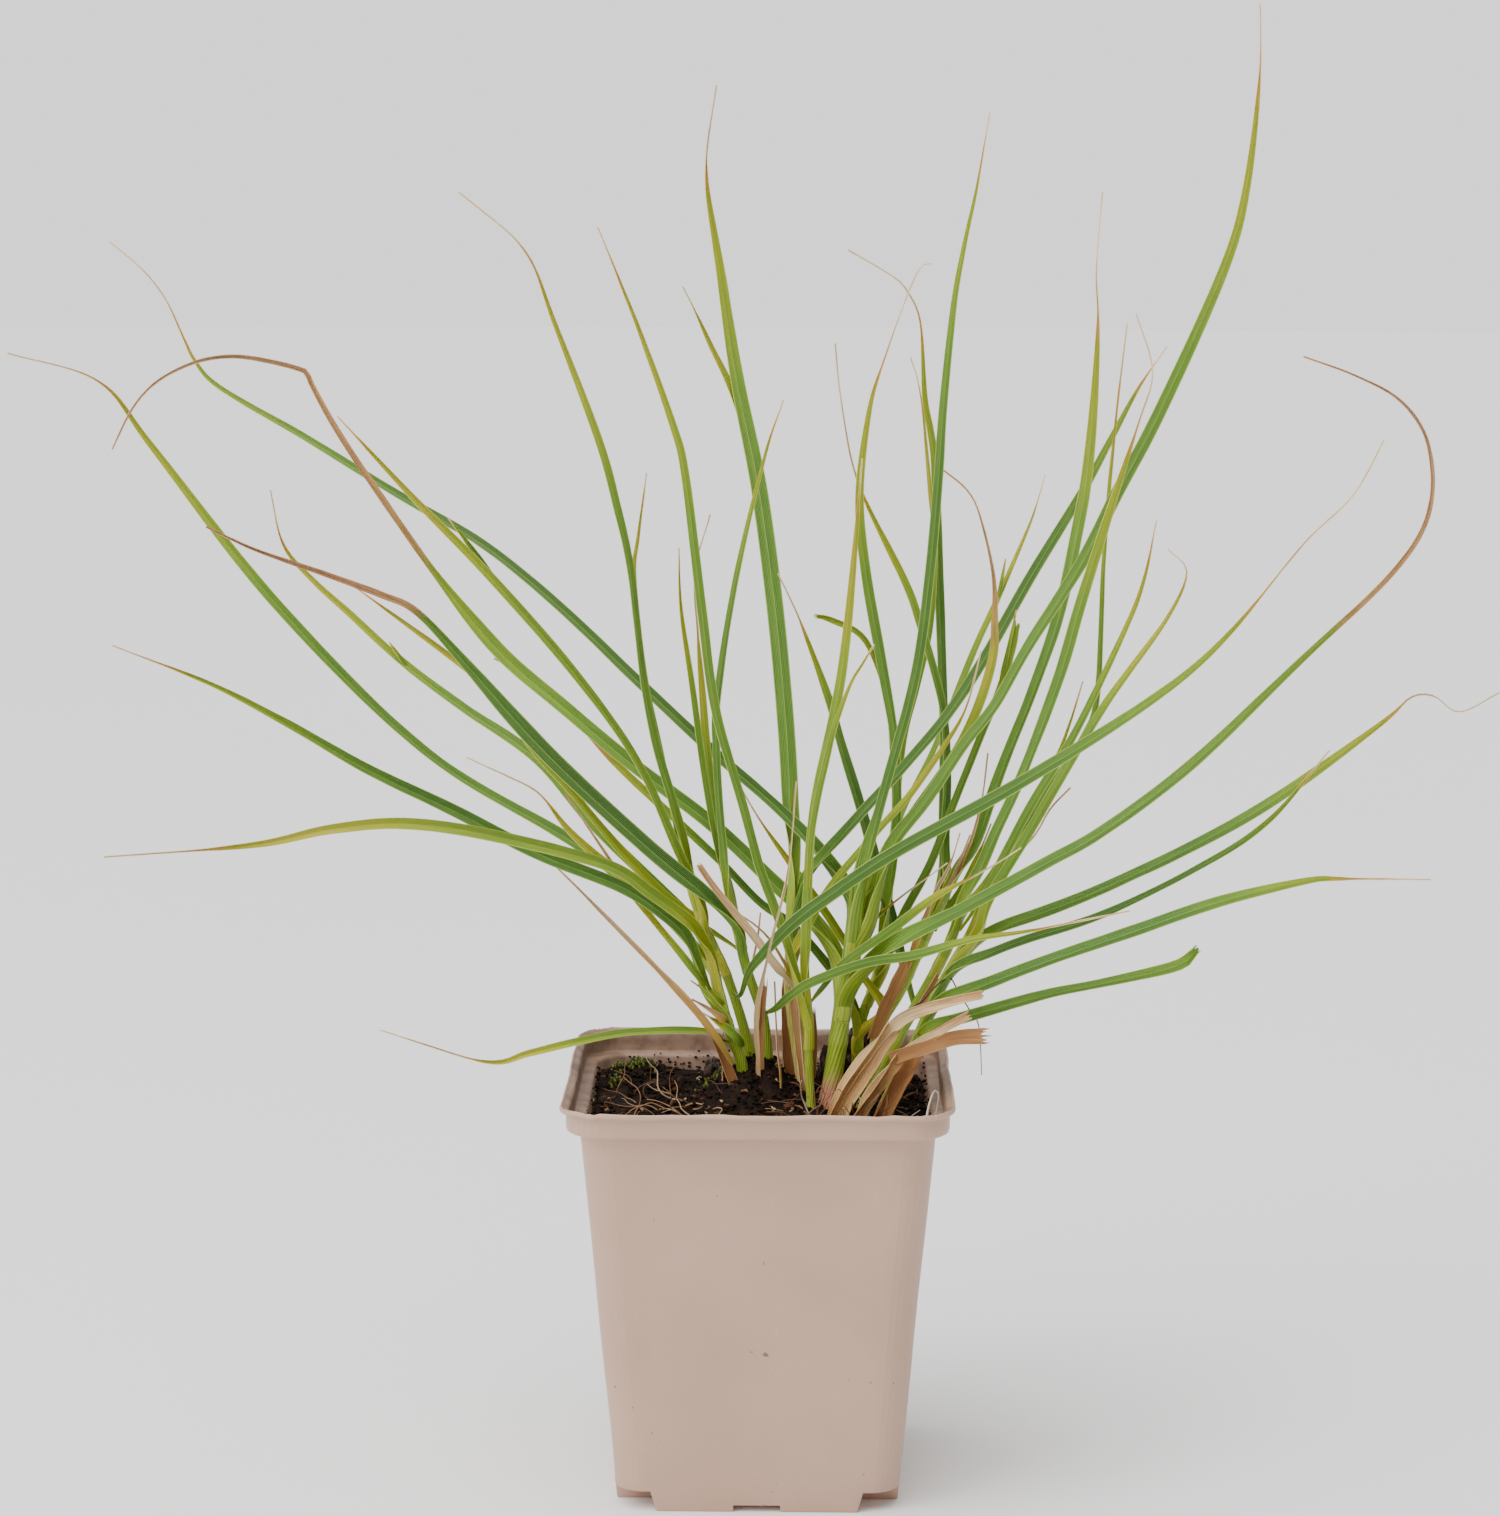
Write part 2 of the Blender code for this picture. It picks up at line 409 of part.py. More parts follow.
def make_compost():
    """The root ball and compost, filling the pot, with a socket for each stem."""
    inset = WALL + CLEARANCE
    rings = [rounded_square(body_half(z) - inset, body_corner(z) - inset, z) for z in (inset, 40, 83)]
    edge = rounded_square(body_half(84) - inset, body_corner(84) - inset, 0)
    for share in (1, 0.86, 0.72, 0.58, 0.44, 0.3, 0.15):
        rings.append([(x * share, y * share, compost_height(x * share, y * share)) for x, y, _ in edge])
    compost = skin("compost", rings, material("peat compost", (0.02, 0.013, 0.009), 0.95),
                   apex=(0, 0, compost_height(0, 0)))
    sockets = [disc("socket_" + name, *route[0][:2], base + SOCKET_ROOM, route[0][2] - SOCKET_DEPTH,
                    COMPOST_LEVEL + 20, 8)
               for name, base, _, route in STEMS]
    cut(compost, foot_cutters("under", inset) + sockets)


def along(route, share):
    """Point and direction at a share of the way through the route's points, on a Catmull-Rom curve."""
    place = share * (len(route) - 1)
    i = min(int(place), len(route) - 2)
    t = place - i
    b, c = Vector(route[i]), Vector(route[i + 1])
    a = Vector(route[i - 1]) if i else 2 * b - c
    d = Vector(route[i + 2]) if i + 2 < len(route) else 2 * c - b
    slope_b, slope_c = (c - a) / 2, (d - b) / 2
    point = ((2 * t**3 - 3 * t**2 + 1) * b + (t**3 - 2 * t**2 + t) * slope_b
             + (3 * t**2 - 2 * t**3) * c + (t**3 - t**2) * slope_c)
    heading = ((6 * t**2 - 6 * t) * b + (3 * t**2 - 4 * t + 1) * slope_b
               + (6 * t - 6 * t**2) * c + (3 * t**2 - 2 * t) * slope_c)
    return point, heading.normalized()


def stations(route, spacing):
    """Shares of the route, spaced evenly along its length."""
    fine = [along(route, i / 200)[0] for i in range(201)]
    walked = [0.0]
    for p, q in zip(fine, fine[1:]):
        walked.append(walked[-1] + (q - p).length)
    count = max(6, round(walked[-1] / spacing))
    shares = []
    step = 0
    for k in range(count + 1):
        while step < 200 and walked[step] < walked[-1] * k / count:
            step += 1
        shares.append(step / 200)
    return [(share, k / count) for k, share in enumerate(shares)]


def make_stem(name, base, top, route, finish, sides=8):
    """A round stem that narrows upward along its route, cut level at its foot."""
    rings = []
    for share, length in stations(route, 9.0):
        point, heading = along(route, share)
        if length == 0:
            heading = Vector((0, 0, 1))
        across = heading.cross(Vector((0, -1, 0))).normalized()
        toward = across.cross(heading)
        radius = base + (top - base) * length
        turns = [math.tau * (i + 0.5) / sides for i in range(sides)]
        rings.append([point + radius * (math.cos(a) * across - math.sin(a) * toward) for a in turns])
    skin(name, rings, finish)


def blade_width(widest, length):
    """Width at a share of the length: a narrow base, an even middle and a long taper to the tip."""
    rise = 0.55 + 0.45 * min(1.0, length / 0.18)
    taper = max(0.0, 1 - max(0.0, (length - 0.5) / 0.5) ** 1.6)
    return max(TIP_WIDTH, widest * rise * taper)


def make_blade(name, widest, roll, route, finish):
    """A creased blade: four edges at each station, its upper side turned up by the roll."""
    lean = 1 if route[-1][0] < route[0][0] else -1
    angle = math.radians(roll) * lean
    rings = []
    for share, length in stations(route, POINT_SPACING):
        point, heading = along(route, share)
        flat = heading.cross(Vector((0, -1, 0))).normalized()
        out = flat.cross(heading)
        across = math.cos(angle) * flat - math.sin(angle) * out
        face = math.cos(angle) * out + math.sin(angle) * flat
        half = blade_width(widest, length) / 2
        thick = BLADE_THICKNESS / 2
        rings.append([point + half * across + FOLD * half * face, point + thick * face,
                      point - half * across + FOLD * half * face, point - thick * face])
    skin(name, rings, finish)


for old in list(bpy.data.objects):
    bpy.data.objects.remove(old, do_unlink=True)

make_pot()
make_compost()
green_stem = material("green stem", (0.17, 0.27, 0.05), 0.5)
dry_sheath = material("dry sheath", (0.62, 0.44, 0.27), 0.8)
green_leaf = material("green leaf", (0.14, 0.27, 0.04), 0.45)
for name, base, top, route in STEMS:
    make_stem(name, base, top, route, dry_sheath if name.startswith("sheath") else green_stem)
for blades, finish in ((GREEN_BLADES, green_leaf), (DRY_BLADES, dry_sheath)):
    for name, widest, roll, route in blades:
        make_blade(name, widest, roll, route, finish)
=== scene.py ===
"""Looks of the potted ornamental grass: pot, compost, stems and blades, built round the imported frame."""
import math
import random

import bpy
from mathutils import Matrix, Vector, noise


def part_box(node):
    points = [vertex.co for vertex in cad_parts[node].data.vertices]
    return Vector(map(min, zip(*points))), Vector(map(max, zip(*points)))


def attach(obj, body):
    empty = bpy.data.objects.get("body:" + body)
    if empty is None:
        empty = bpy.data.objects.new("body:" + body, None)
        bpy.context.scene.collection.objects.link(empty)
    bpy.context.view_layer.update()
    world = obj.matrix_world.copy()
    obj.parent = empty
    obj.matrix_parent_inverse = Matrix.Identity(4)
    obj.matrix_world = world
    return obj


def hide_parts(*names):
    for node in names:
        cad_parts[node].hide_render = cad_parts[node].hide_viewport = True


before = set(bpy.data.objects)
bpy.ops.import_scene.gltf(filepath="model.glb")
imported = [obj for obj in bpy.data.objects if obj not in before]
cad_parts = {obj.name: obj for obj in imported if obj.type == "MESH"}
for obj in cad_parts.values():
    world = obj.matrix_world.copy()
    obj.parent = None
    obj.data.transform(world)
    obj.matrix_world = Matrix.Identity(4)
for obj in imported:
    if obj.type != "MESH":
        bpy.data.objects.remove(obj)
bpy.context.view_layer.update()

# Lengths are in millimetres until MM makes them metres. The pot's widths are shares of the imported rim.
MM = 0.001
# A full turn in radians, near enough.
TURN = 6.28
POT_LOW, POT_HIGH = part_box("pot")
RIM = (POT_HIGH.x - POT_LOW.x) / MM
POT_TOP = POT_HIGH.z / MM
COLLAR = RIM * 0.9705
BODY_TOP = RIM * 0.9048
FOOT = RIM * 0.7254
BODY_TOP_Z = POT_TOP * 0.9312
WALL = 0.95
COMPOST_LEVEL = 87.9
# Rises in the compost under the shoots: middle x and y, height and spread.
RISES = [(-1, 3, 12.0, 9), (24, 2, 3.0, 10), (-32, 30, 3.0, 9)]
FACING = Vector((0, -1, 0))
CORNERS = [(1, 1), (1, -1), (-1, 1), (-1, -1)]


# ---------------------------------------------------------------- shader wiring

class Wire:
    """One output socket whose arithmetic adds Math nodes."""

    def __init__(self, finish, socket):
        self.finish = finish
        self.socket = socket

    def maths(self, operation, *values):
        return self.finish.add("ShaderNodeMath", dict(enumerate(values)), {"operation": operation})

    def __add__(self, other):
        return self.maths("ADD", self, other)

    def __radd__(self, other):
        return self.maths("ADD", other, self)

    def __sub__(self, other):
        return self.maths("SUBTRACT", self, other)

    def __rsub__(self, other):
        return self.maths("SUBTRACT", other, self)

    def __mul__(self, other):
        return self.maths("MULTIPLY", self, other)

    def __rmul__(self, other):
        return self.maths("MULTIPLY", other, self)

    def __abs__(self):
        return self.maths("ABSOLUTE", self)


class Finish:
    """A material with its Principled shader, and short ways to add nodes to it."""

    # Sockets that share a name with another are found by their place in the node's list.
    OBJECT_PLACE, ATTRIBUTE_NUMBER, CELL_COLOUR, MIXED_COLOUR = 3, 2, 1, 2
    MIX_FIRST, MIX_SECOND = 6, 7

    def __init__(self, name, **constants):
        self.material = bpy.data.materials.new(name)
        self.material.use_nodes = True
        self.tree = self.material.node_tree
        self.shader = self.tree.nodes["Principled BSDF"]
        for socket, value in constants.items():
            self.shader.inputs[socket.replace("_", " ")].default_value = value

    def join(self, socket, value):
        if isinstance(value, Wire):
            self.tree.links.new(value.socket, socket)
        else:
            socket.default_value = value

    def add(self, kind, values=None, settings=None, output=0):
        """A node of any type: its settings first, then its sockets' values or links."""
        node = self.tree.nodes.new(kind)
        for name, setting in (settings or {}).items():
            if name == "stops":
                ramp = node.color_ramp
                while len(ramp.elements) < len(setting):
                    ramp.elements.new(0.5)
                for element, (place, colour) in zip(ramp.elements, setting):
                    element.position = place
                    element.color = (*colour, 1)
            else:
                setattr(node, name, setting)
        for key, value in (values or {}).items():
            self.join(node.inputs[key], value)
        return Wire(self, node.outputs[output])

    def place(self):
        return self.add("ShaderNodeTexCoord", output=self.OBJECT_PLACE)

    def own(self, attribute):
        settings = {"attribute_name": attribute}
        return self.add("ShaderNodeAttribute", settings=settings, output=self.ATTRIBUTE_NUMBER)

    def stretched(self, vector, size):
        """The vector with each axis multiplied by a size."""
        return self.add("ShaderNodeVectorMath", {0: vector, 1: size}, {"operation": "MULTIPLY"})

    def cloud(self, vector, scale, detail=4.0, rough=0.55):
        values = {"Vector": vector, "Scale": scale, "Detail": detail, "Roughness": rough}
        return self.add("ShaderNodeTexNoise", values)

    def between(self, wire, low, high):
        """0 below low, 1 above high, smooth between."""
        settings = {"interpolation_type": "SMOOTHSTEP"}
        return self.add("ShaderNodeMapRange", {0: wire, 1: low, 2: high}, settings)

    def blend(self, share, first, second, how="MIX"):
        """A mix of two colours, each a wire or an 8-bit screen colour."""
        values = {0: share}
        for key, colour in ((self.MIX_FIRST, first), (self.MIX_SECOND, second)):
            values[key] = colour if isinstance(colour, Wire) else (*srgb(*colour), 1)
        settings = {"data_type": "RGBA", "blend_type": how}
        return self.add("ShaderNodeMix", values, settings, output=self.MIXED_COLOUR)

    def ramp(self, wire, *stops):
        """A colour ramp; each stop is a place and an 8-bit screen colour."""
        settings = {"stops": [(place, srgb(*colour)) for place, colour in stops]}
        return self.add("ShaderNodeValToRGB", {0: wire}, settings)

    def ribs(self, across, count):
        """Fine ribs that run lengthwise."""
        return self.add("ShaderNodeMath", {0: across * count}, {"operation": "SINE"})

    def colour(self, wire):
        self.join(self.shader.inputs["Base Color"], wire)

    def rough(self, wire):
        self.join(self.shader.inputs["Roughness"], wire)

    def bump(self, height, depth, strength):
        values = {"Strength": strength, "Distance": depth, "Height": height}
        self.join(self.shader.inputs["Normal"], self.add("ShaderNodeBump", values))


def srgb(red, green, blue):
    """Linear colour of an 8-bit screen colour."""
    shares = [c / 255 for c in (red, green, blue)]
    return tuple(c / 12.92 if c <= 0.04045 else ((c + 0.055) / 1.055) ** 2.4 for c in shares)


def leaf_finish():
    """Ribbed grass leaf: green tones, pale margins, dry tips, rust flecks and painted shade on one half of
    its fold, set by its own attributes.
    """
    f = Finish("grass leaf", IOR=1.42, Specular_IOR_Level=0.3)
    across, along = f.own("across"), f.own("along")
    tone, dry, blush = f.own("tone"), f.own("dry"), f.own("blush")
    strip = f.add("ShaderNodeCombineXYZ", {0: across * 3.0, 1: along * 0.12, 2: f.own("seed")})
    patches = f.cloud(strip, 1.0, 3.0)
    streaks = f.cloud(f.stretched(strip, (9.0, 0.6, 1.0)), 1.0, 5.0, 0.7)
    fine = f.cloud(f.stretched(strip, (3.0, 9.0, 1.0)), 1.3, 4.0, 0.7)
    veins = f.ribs(across, 34.0)
    greens = f.ramp(tone + (patches - 0.5) * 0.34, (0.0, (42, 80, 48)), (0.3, (68, 114, 54)),
                    (0.55, (114, 152, 54)), (0.8, (176, 182, 44)), (1.0, (206, 190, 60)))
    ribbed = f.blend(f.between(veins + (streaks - 0.5) * 2.2, -0.5, 1.0) * 0.3, greens, (176, 206, 76))
    # Painted shade: the half of the blade with across above zero is multiplied darker, as if that side of
    # the fold faced away from the light.
    fold_half_shaded = f.blend(f.between(across, -0.15, 0.15) * 0.55, ribbed, (170, 186, 150), "MULTIPLY")
    margin = f.between(abs(across), 0.86, 0.98)
    midrib = 1 - f.between(abs(across), 0.02, 0.1)
    living = f.blend(margin * 0.5 + midrib * 0.26, fold_half_shaded, (196, 214, 96))
    spread = dry + (streaks - 0.5) * 0.34 + (patches - 0.5) * 0.2 + f.between(abs(across), 0.4, 1.0) * 0.06
    dead = f.ramp(spread, (0.3, (178, 178, 40)), (0.42, (208, 184, 60)), (0.52, (228, 180, 84)),
                  (0.66, (238, 190, 118)), (0.86, (244, 216, 164)), (1.0, (214, 166, 112)))
    browned = f.blend(blush, dead, (206, 152, 112))
    dark_streaks = f.between(streaks + (patches - 0.5) * 0.8, 0.46, 0.62) * (0.25 + blush * 0.6)
    shaded = f.blend(dark_streaks, browned, (112, 68, 42))
    mixed = f.blend(f.between(spread, 0.24, 0.4), living, shaded)
    rust = f.between(fine, 0.66, 0.74) * f.between(patches, 0.5, 0.66)
    f.colour(f.blend(rust * 0.7, mixed, (128, 74, 38)))
    f.rough(0.42 + f.between(spread, 0.2, 0.6) * 0.36 + (fine - 0.5) * 0.16)
    f.bump(veins * 0.5 + streaks * 0.9 + fine * 0.4, 0.00012, 0.9)
    return f.material


def stem_finish():
    """Rolled green sheaths, striped lengthwise, with a pink-red papery foot."""
    f = Finish("grass stem", IOR=1.42, Specular_IOR_Level=0.3)
    across, along = f.own("across"), f.own("along")
    tone, dry, blush = f.own("tone"), f.own("dry"), f.own("blush")
    strip = f.add("ShaderNodeCombineXYZ", {0: across * 6.0, 1: along * 0.1, 2: f.own("seed")})
    streaks = f.cloud(f.stretched(strip, (4.0, 0.7, 1.0)), 1.0, 5.0, 0.65)
    patches = f.cloud(strip, 1.2, 3.0)
    veins = f.ribs(across, 52.0)
    greens = f.ramp(tone + (patches - 0.5) * 0.4, (0.0, (50, 82, 22)), (0.35, (88, 124, 24)),
                    (0.65, (132, 158, 32)), (1.0, (190, 188, 76)))
    ribbed = f.blend(f.between(veins + (streaks - 0.5) * 2.5, -0.4, 1.0) * 0.4, greens, (190, 198, 88))
    reds = f.blend(f.between(streaks, 0.4, 0.62), (160, 84, 66), (226, 178, 142))
    redness = f.between(blush + (streaks - 0.5) * 0.7 + (patches - 0.5) * 0.3, 0.3, 0.62)
    based = f.blend(redness, ribbed, reds)
    paper = f.ramp(tone + (patches - 0.5) * 0.5, (0.0, (162, 106, 66)), (0.4, (208, 152, 96)),
                   (0.8, (240, 194, 128)), (1.0, (250, 214, 156)))
    tan = f.blend(f.between(streaks + veins * 0.1, 0.42, 0.64) * 0.7, paper, (156, 98, 58))
    f.colour(f.blend(f.between(dry + (streaks - 0.5) * 0.5, 0.4, 0.6), based, tan))
    f.rough(0.4 + dry * 0.3 + (streaks - 0.5) * 0.2)
    f.bump(veins * 0.5 + streaks, 0.00015, 0.9)
    return f.material


def plastic_finish():
    """Taupe pot plastic: faint cloudiness, fine orange-peel, scuffs, a few dark specks, and painted shade on
    the inner wall.
    """
    f = Finish("taupe pot plastic", IOR=1.47, Specular_IOR_Level=0.45)
    spot = f.place()
    cloud = f.cloud(spot, 30.0, 3.0)
    scuffs = f.cloud(f.stretched(spot, (420.0, 420.0, 60.0)), 1.0, 4.0, 0.7)
    specks = f.between(f.cloud(spot, 900.0, 2.0), 0.735, 0.76)
    specks = specks * f.between(f.cloud(spot, 55.0, 1.0), 0.5, 0.6)
    crumbs = f.between(f.cloud(spot, 420.0, 2.0), 0.73, 0.77)
    crumbs = crumbs * f.between(f.cloud(spot, 35.0, 1.0), 0.52, 0.6)
    tint = f.blend(f.between(cloud, 0.3, 0.7), (182, 148, 127), (188, 154, 133))
    # Painted shade: the inner wall is darkened brown, mottled by a cloud, as if the inside of the pot lay in
    # shadow.
    inner_wall_shade = f.own("inside") * (0.47 + f.between(f.cloud(spot, 160.0, 4.0), 0.4, 0.65) * 0.35)
    inner_shaded = f.blend(inner_wall_shade, tint, (104, 78, 64))
    worn = f.blend(f.between(scuffs, 0.6, 0.8) * 0.16, inner_shaded, (212, 188, 168))
    f.colour(f.blend(specks * 0.8 + crumbs * 0.7, worn, (70, 52, 42)))
    f.rough(0.44 + (cloud - 0.5) * 0.18 + f.between(scuffs, 0.55, 0.8) * 0.12)
    peel = f.cloud(spot, 520.0, 3.0)
    f.bump(peel + scuffs * 0.25 + cloud * 2.0, 0.00012, 0.5)
    return f.material


def peat_finish():
    """Moist peat: near-black crumbs with brown and rusty grains."""
    f = Finish("moist peat", IOR=1.4, Specular_IOR_Level=0.12)
    spot = f.place()
    lumps = f.cloud(spot, 260.0, 6.0, 0.7)
    grains = f.add("ShaderNodeTexVoronoi", {"Vector": spot, "Scale": 900.0}, output=f.CELL_COLOUR)
    pick = f.add("ShaderNodeSeparateColor", {0: grains})
    earth = f.blend(f.between(lumps, 0.35, 0.7), (12, 8, 6), (46, 31, 22))
    rusty = f.blend(f.between(pick, 0.93, 0.98), earth, (96, 60, 36))
    f.colour(f.blend(f.between(pick, 0.985, 0.995), rusty, (170, 144, 112)))
    f.rough(0.62 + (lumps - 0.5) * 0.5)
    f.bump(lumps + pick * 0.3, 0.0012, 1.0)
    return f.material


def wet_finish():
    """Wet rotted stem bases: almost black brown and glossy in patches."""
    f = Finish("wet dead crown", IOR=1.4)
    grain = f.cloud(f.stretched(f.place(), (900.0, 900.0, 220.0)), 1.0, 5.0, 0.65)
    damp = f.cloud(f.place(), 240.0)
    f.colour(f.blend(f.between(grain, 0.4, 0.68), (26, 16, 11), (82, 54, 36)))
    f.rough(0.2 + f.between(damp, 0.4, 0.6) * 0.5)
    f.bump(grain, 0.0004, 1.0)
    return f.material


def fibre_finish():
    """Roots and peat fibres, from dark rust to pale straw by each one's tone."""
    f = Finish("root fibre", IOR=1.42)
    strands = f.cloud(f.place(), 500.0, 4.0)
    base = f.ramp(f.own("tone") + (strands - 0.5) * 0.25, (0.0, (48, 30, 22)), (0.35, (112, 70, 44)),
                  (0.65, (168, 126, 90)), (1.0, (228, 214, 192)))
    f.colour(base)
    f.rough(0.6 + (strands - 0.5) * 0.3)
    f.bump(strands, 0.0001, 0.8)
    return f.material


def moss_finish():
    """Bright green moss tufts with yellow tips."""
    f = Finish("moss", IOR=1.4)
    tufts = f.cloud(f.place(), 900.0, 4.0)
    f.colour(f.blend(f.between(tufts, 0.35, 0.68), (58, 74, 24), (128, 136, 44)))
    f.rough(0.7 + (tufts - 0.5) * 0.3)
    f.bump(tufts, 0.0004, 1.0)
    return f.material


def floor_finish():
    """Seamless pale studio floor."""
    f = Finish("studio floor", Roughness=0.7)
    f.colour(f.blend(f.cloud(f.place(), 3.0), (247, 247, 246), (250, 250, 249)))
    return f.material


LEAF = leaf_finish()
STEM = stem_finish()
PLASTIC = plastic_finish()
PEAT = peat_finish()
FIBRE = fibre_finish()
MOSS = moss_finish()
WET = wet_finish()


# ---------------------------------------------------------------- making and finishing meshes

def only(piece):
    """Selects one piece and nothing else."""
    bpy.ops.object.select_all(action="DESELECT")
    piece.select_set(True)
    bpy.context.view_layer.objects.active = piece


def modify(piece, kind, **settings):
    """Adds a modifier with its settings and applies it."""
    only(piece)
    changed = piece.modifiers.new(kind.lower(), kind)
    for name, value in settings.items():
        setattr(changed, name, value)
    bpy.ops.object.modifier_apply(modifier=changed.name)


def dress(piece, finish, slot, *nodes, smooth=35):
    """Gives a finished piece its material, smoothing and body, and hides the nodes it stands for. The slot
    argument is not used.
    """
    piece.data.materials.clear()
    piece.data.materials.append(finish)
    only(piece)
    bpy.ops.object.shade_smooth_by_angle(angle=math.radians(smooth))
    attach(piece, "root")
    if nodes:
        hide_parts(*nodes)
    return piece


def added(name, primitive, **settings):
    """A new primitive under its own name, with nothing else selected."""
    bpy.ops.object.select_all(action="DESELECT")
    primitive(**settings)
    piece = bpy.context.object
    piece.name = name
    piece.data.name = name
    return piece


def grid_strip(name, rows, columns):
    """A flat strip of faces, as a primitive grid, ready to be laid along a route."""
    return added(name, bpy.ops.mesh.primitive_grid_add, x_subdivisions=columns, y_subdivisions=rows, size=2)


def linked(name, data):
    """A new object that holds a mesh, a lamp or a camera, in the scene."""
    thing = bpy.data.objects.new(name, data)
    bpy.context.collection.objects.link(thing)
    return thing


# A route is first cut into FINE_STEPS steps, and the first BASE_STEPS of them are smoothed longer.
FINE_STEPS = 400
BASE_STEPS = 70


def along(route, share):
    """Point at a share of the way through the route's points, on a Catmull-Rom curve."""
    place = share * (len(route) - 1)
    i = min(int(place), len(route) - 2)
    t = place - i
    b, c = Vector(route[i]), Vector(route[i + 1])
    a = Vector(route[i - 1]) if i else 2 * b - c
    d = Vector(route[i + 2]) if i + 2 < len(route) else 2 * c - b
    return (b * (1 + t * t * (2 * t - 3)) + c * t * t * (3 - 2 * t)
            + (c - a) * (t**3 - 2 * t**2 + t) / 2 + (d - b) * (t**3 - t**2) / 2)


def even_path(route, spacing, smoothing=6):
    """The route as evenly spaced, smoothed points, with the heading at each; its base is smoothed most."""
    fine = [along(route, i / FINE_STEPS) for i in range(FINE_STEPS + 1)]
    for turn in range(smoothing * 10):
        reach = FINE_STEPS if turn < smoothing * 3 else BASE_STEPS
        eased_part = [(p + 2 * q + r) / 4 for p, q, r in zip(fine[:reach], fine[1:], fine[2:reach + 1])]
        fine = [fine[0]] + eased_part + fine[len(eased_part) + 1:]
    walked = [0.0]
    for p, q in zip(fine, fine[1:]):
        walked.append(walked[-1] + (q - p).length)
    count = max(8, round(walked[-1] / spacing))
    points = []
    step = 0
    for k in range(count + 1):
        goal = walked[-1] * k / count
        while step < FINE_STEPS - 1 and walked[step + 1] < goal:
            step += 1
        t = (goal - walked[step]) / max(1e-9, walked[step + 1] - walked[step])
        points.append(fine[step].lerp(fine[step + 1], min(1.0, t)))
    headings = [(points[min(i + 1, count)] - points[max(i - 1, 0)]).normalized()
                for i in range(count + 1)]
    return points, headings, walked[-1]


def frames_of(headings, rolls):
    """Across and face directions at each point: facing the front, then rolled by an angle in degrees."""
    made = []
    for heading, roll in zip(headings, rolls):
        flat = heading.cross(FACING).normalized()
        out = flat.cross(heading)
        turn = math.radians(roll)
        made.append((math.cos(turn) * flat - math.sin(turn) * out,
                     math.cos(turn) * out + math.sin(turn) * flat))
    return made


def waver(x, y, z):
    """Smooth noise from -1 to 1 at a place."""
    return noise.noise(Vector((x, y, z)))


def store(piece, name, values):
    """Keeps one number per vertex under a name that the finishes read."""
    held = piece.data.attributes.new(name, "FLOAT", "POINT")
    held.data.foreach_set("value", values)


def lay_strip(name, route, section, tones, spacing, columns, wall, smoothing=6,
              centred=None, ripple=0.0, ragged=0.0):
    """A strip laid along a route.

    section(s) gives width, curl in degrees, fold, and roll in degrees at a share of the length.
    tones(s, u) gives tone, dry and blush there, with u across from -1 to 1.
    centred(s) is 1 where the route runs inside the curl and 0 where it runs on the strip itself.
    ripple waves the edges, and ragged tears the far end.
    """
    points, headings, length = even_path(route, spacing, smoothing)
    rows = len(points) - 1
    sections = [section(k / rows) for k in range(rows + 1)]
    frames = frames_of(headings, [s[3] for s in sections])
    piece = grid_strip(name, rows, columns)
    seed = (sum(map(ord, name)) * 7.31) % 100
    marks = {"across": [], "along": [], "tone": [], "dry": [], "blush": []}
    for vertex in piece.data.vertices:
        u = vertex.co.x
        k = round((vertex.co.y + 1) / 2 * rows)
        width, curl, fold, _ = sections[k]
        side, face = frames[k]
        bend = math.radians(max(curl, 0.5))
        angle = u * bend / 2
        radius = width / bend * (1 + 0.06 * u * bend / TURN)
        wrapped = centred(k / rows) if centred else 0.0
        flutter = ripple * u * u * waver(length * k / rows * 0.11, seed, 2 if u > 0 else 7)
        place = (points[k] + side * radius * math.sin(angle)
                 + face * (radius * (1 - math.cos(angle) - wrapped) + fold * abs(u) * width / 2
                           + flutter * (1 - wrapped)))
        if k == rows:
            tear = waver(u * 4.3, seed, 1) + 0.4 * math.cos(u * 23)
            place += headings[k] * ragged * tear
        vertex.co = place * MM
        for label, value in zip(marks, (u, length * k / rows, *tones(k / rows, u))):
            marks[label].append(value)
    marks["seed"] = [seed] * len(piece.data.vertices)
    for label, values in marks.items():
        store(piece, label, values)
    modify(piece, "SOLIDIFY", thickness=wall * MM, offset=0.0, use_even_offset=False)
    return piece


# ---------------------------------------------------------------- stems and leaves

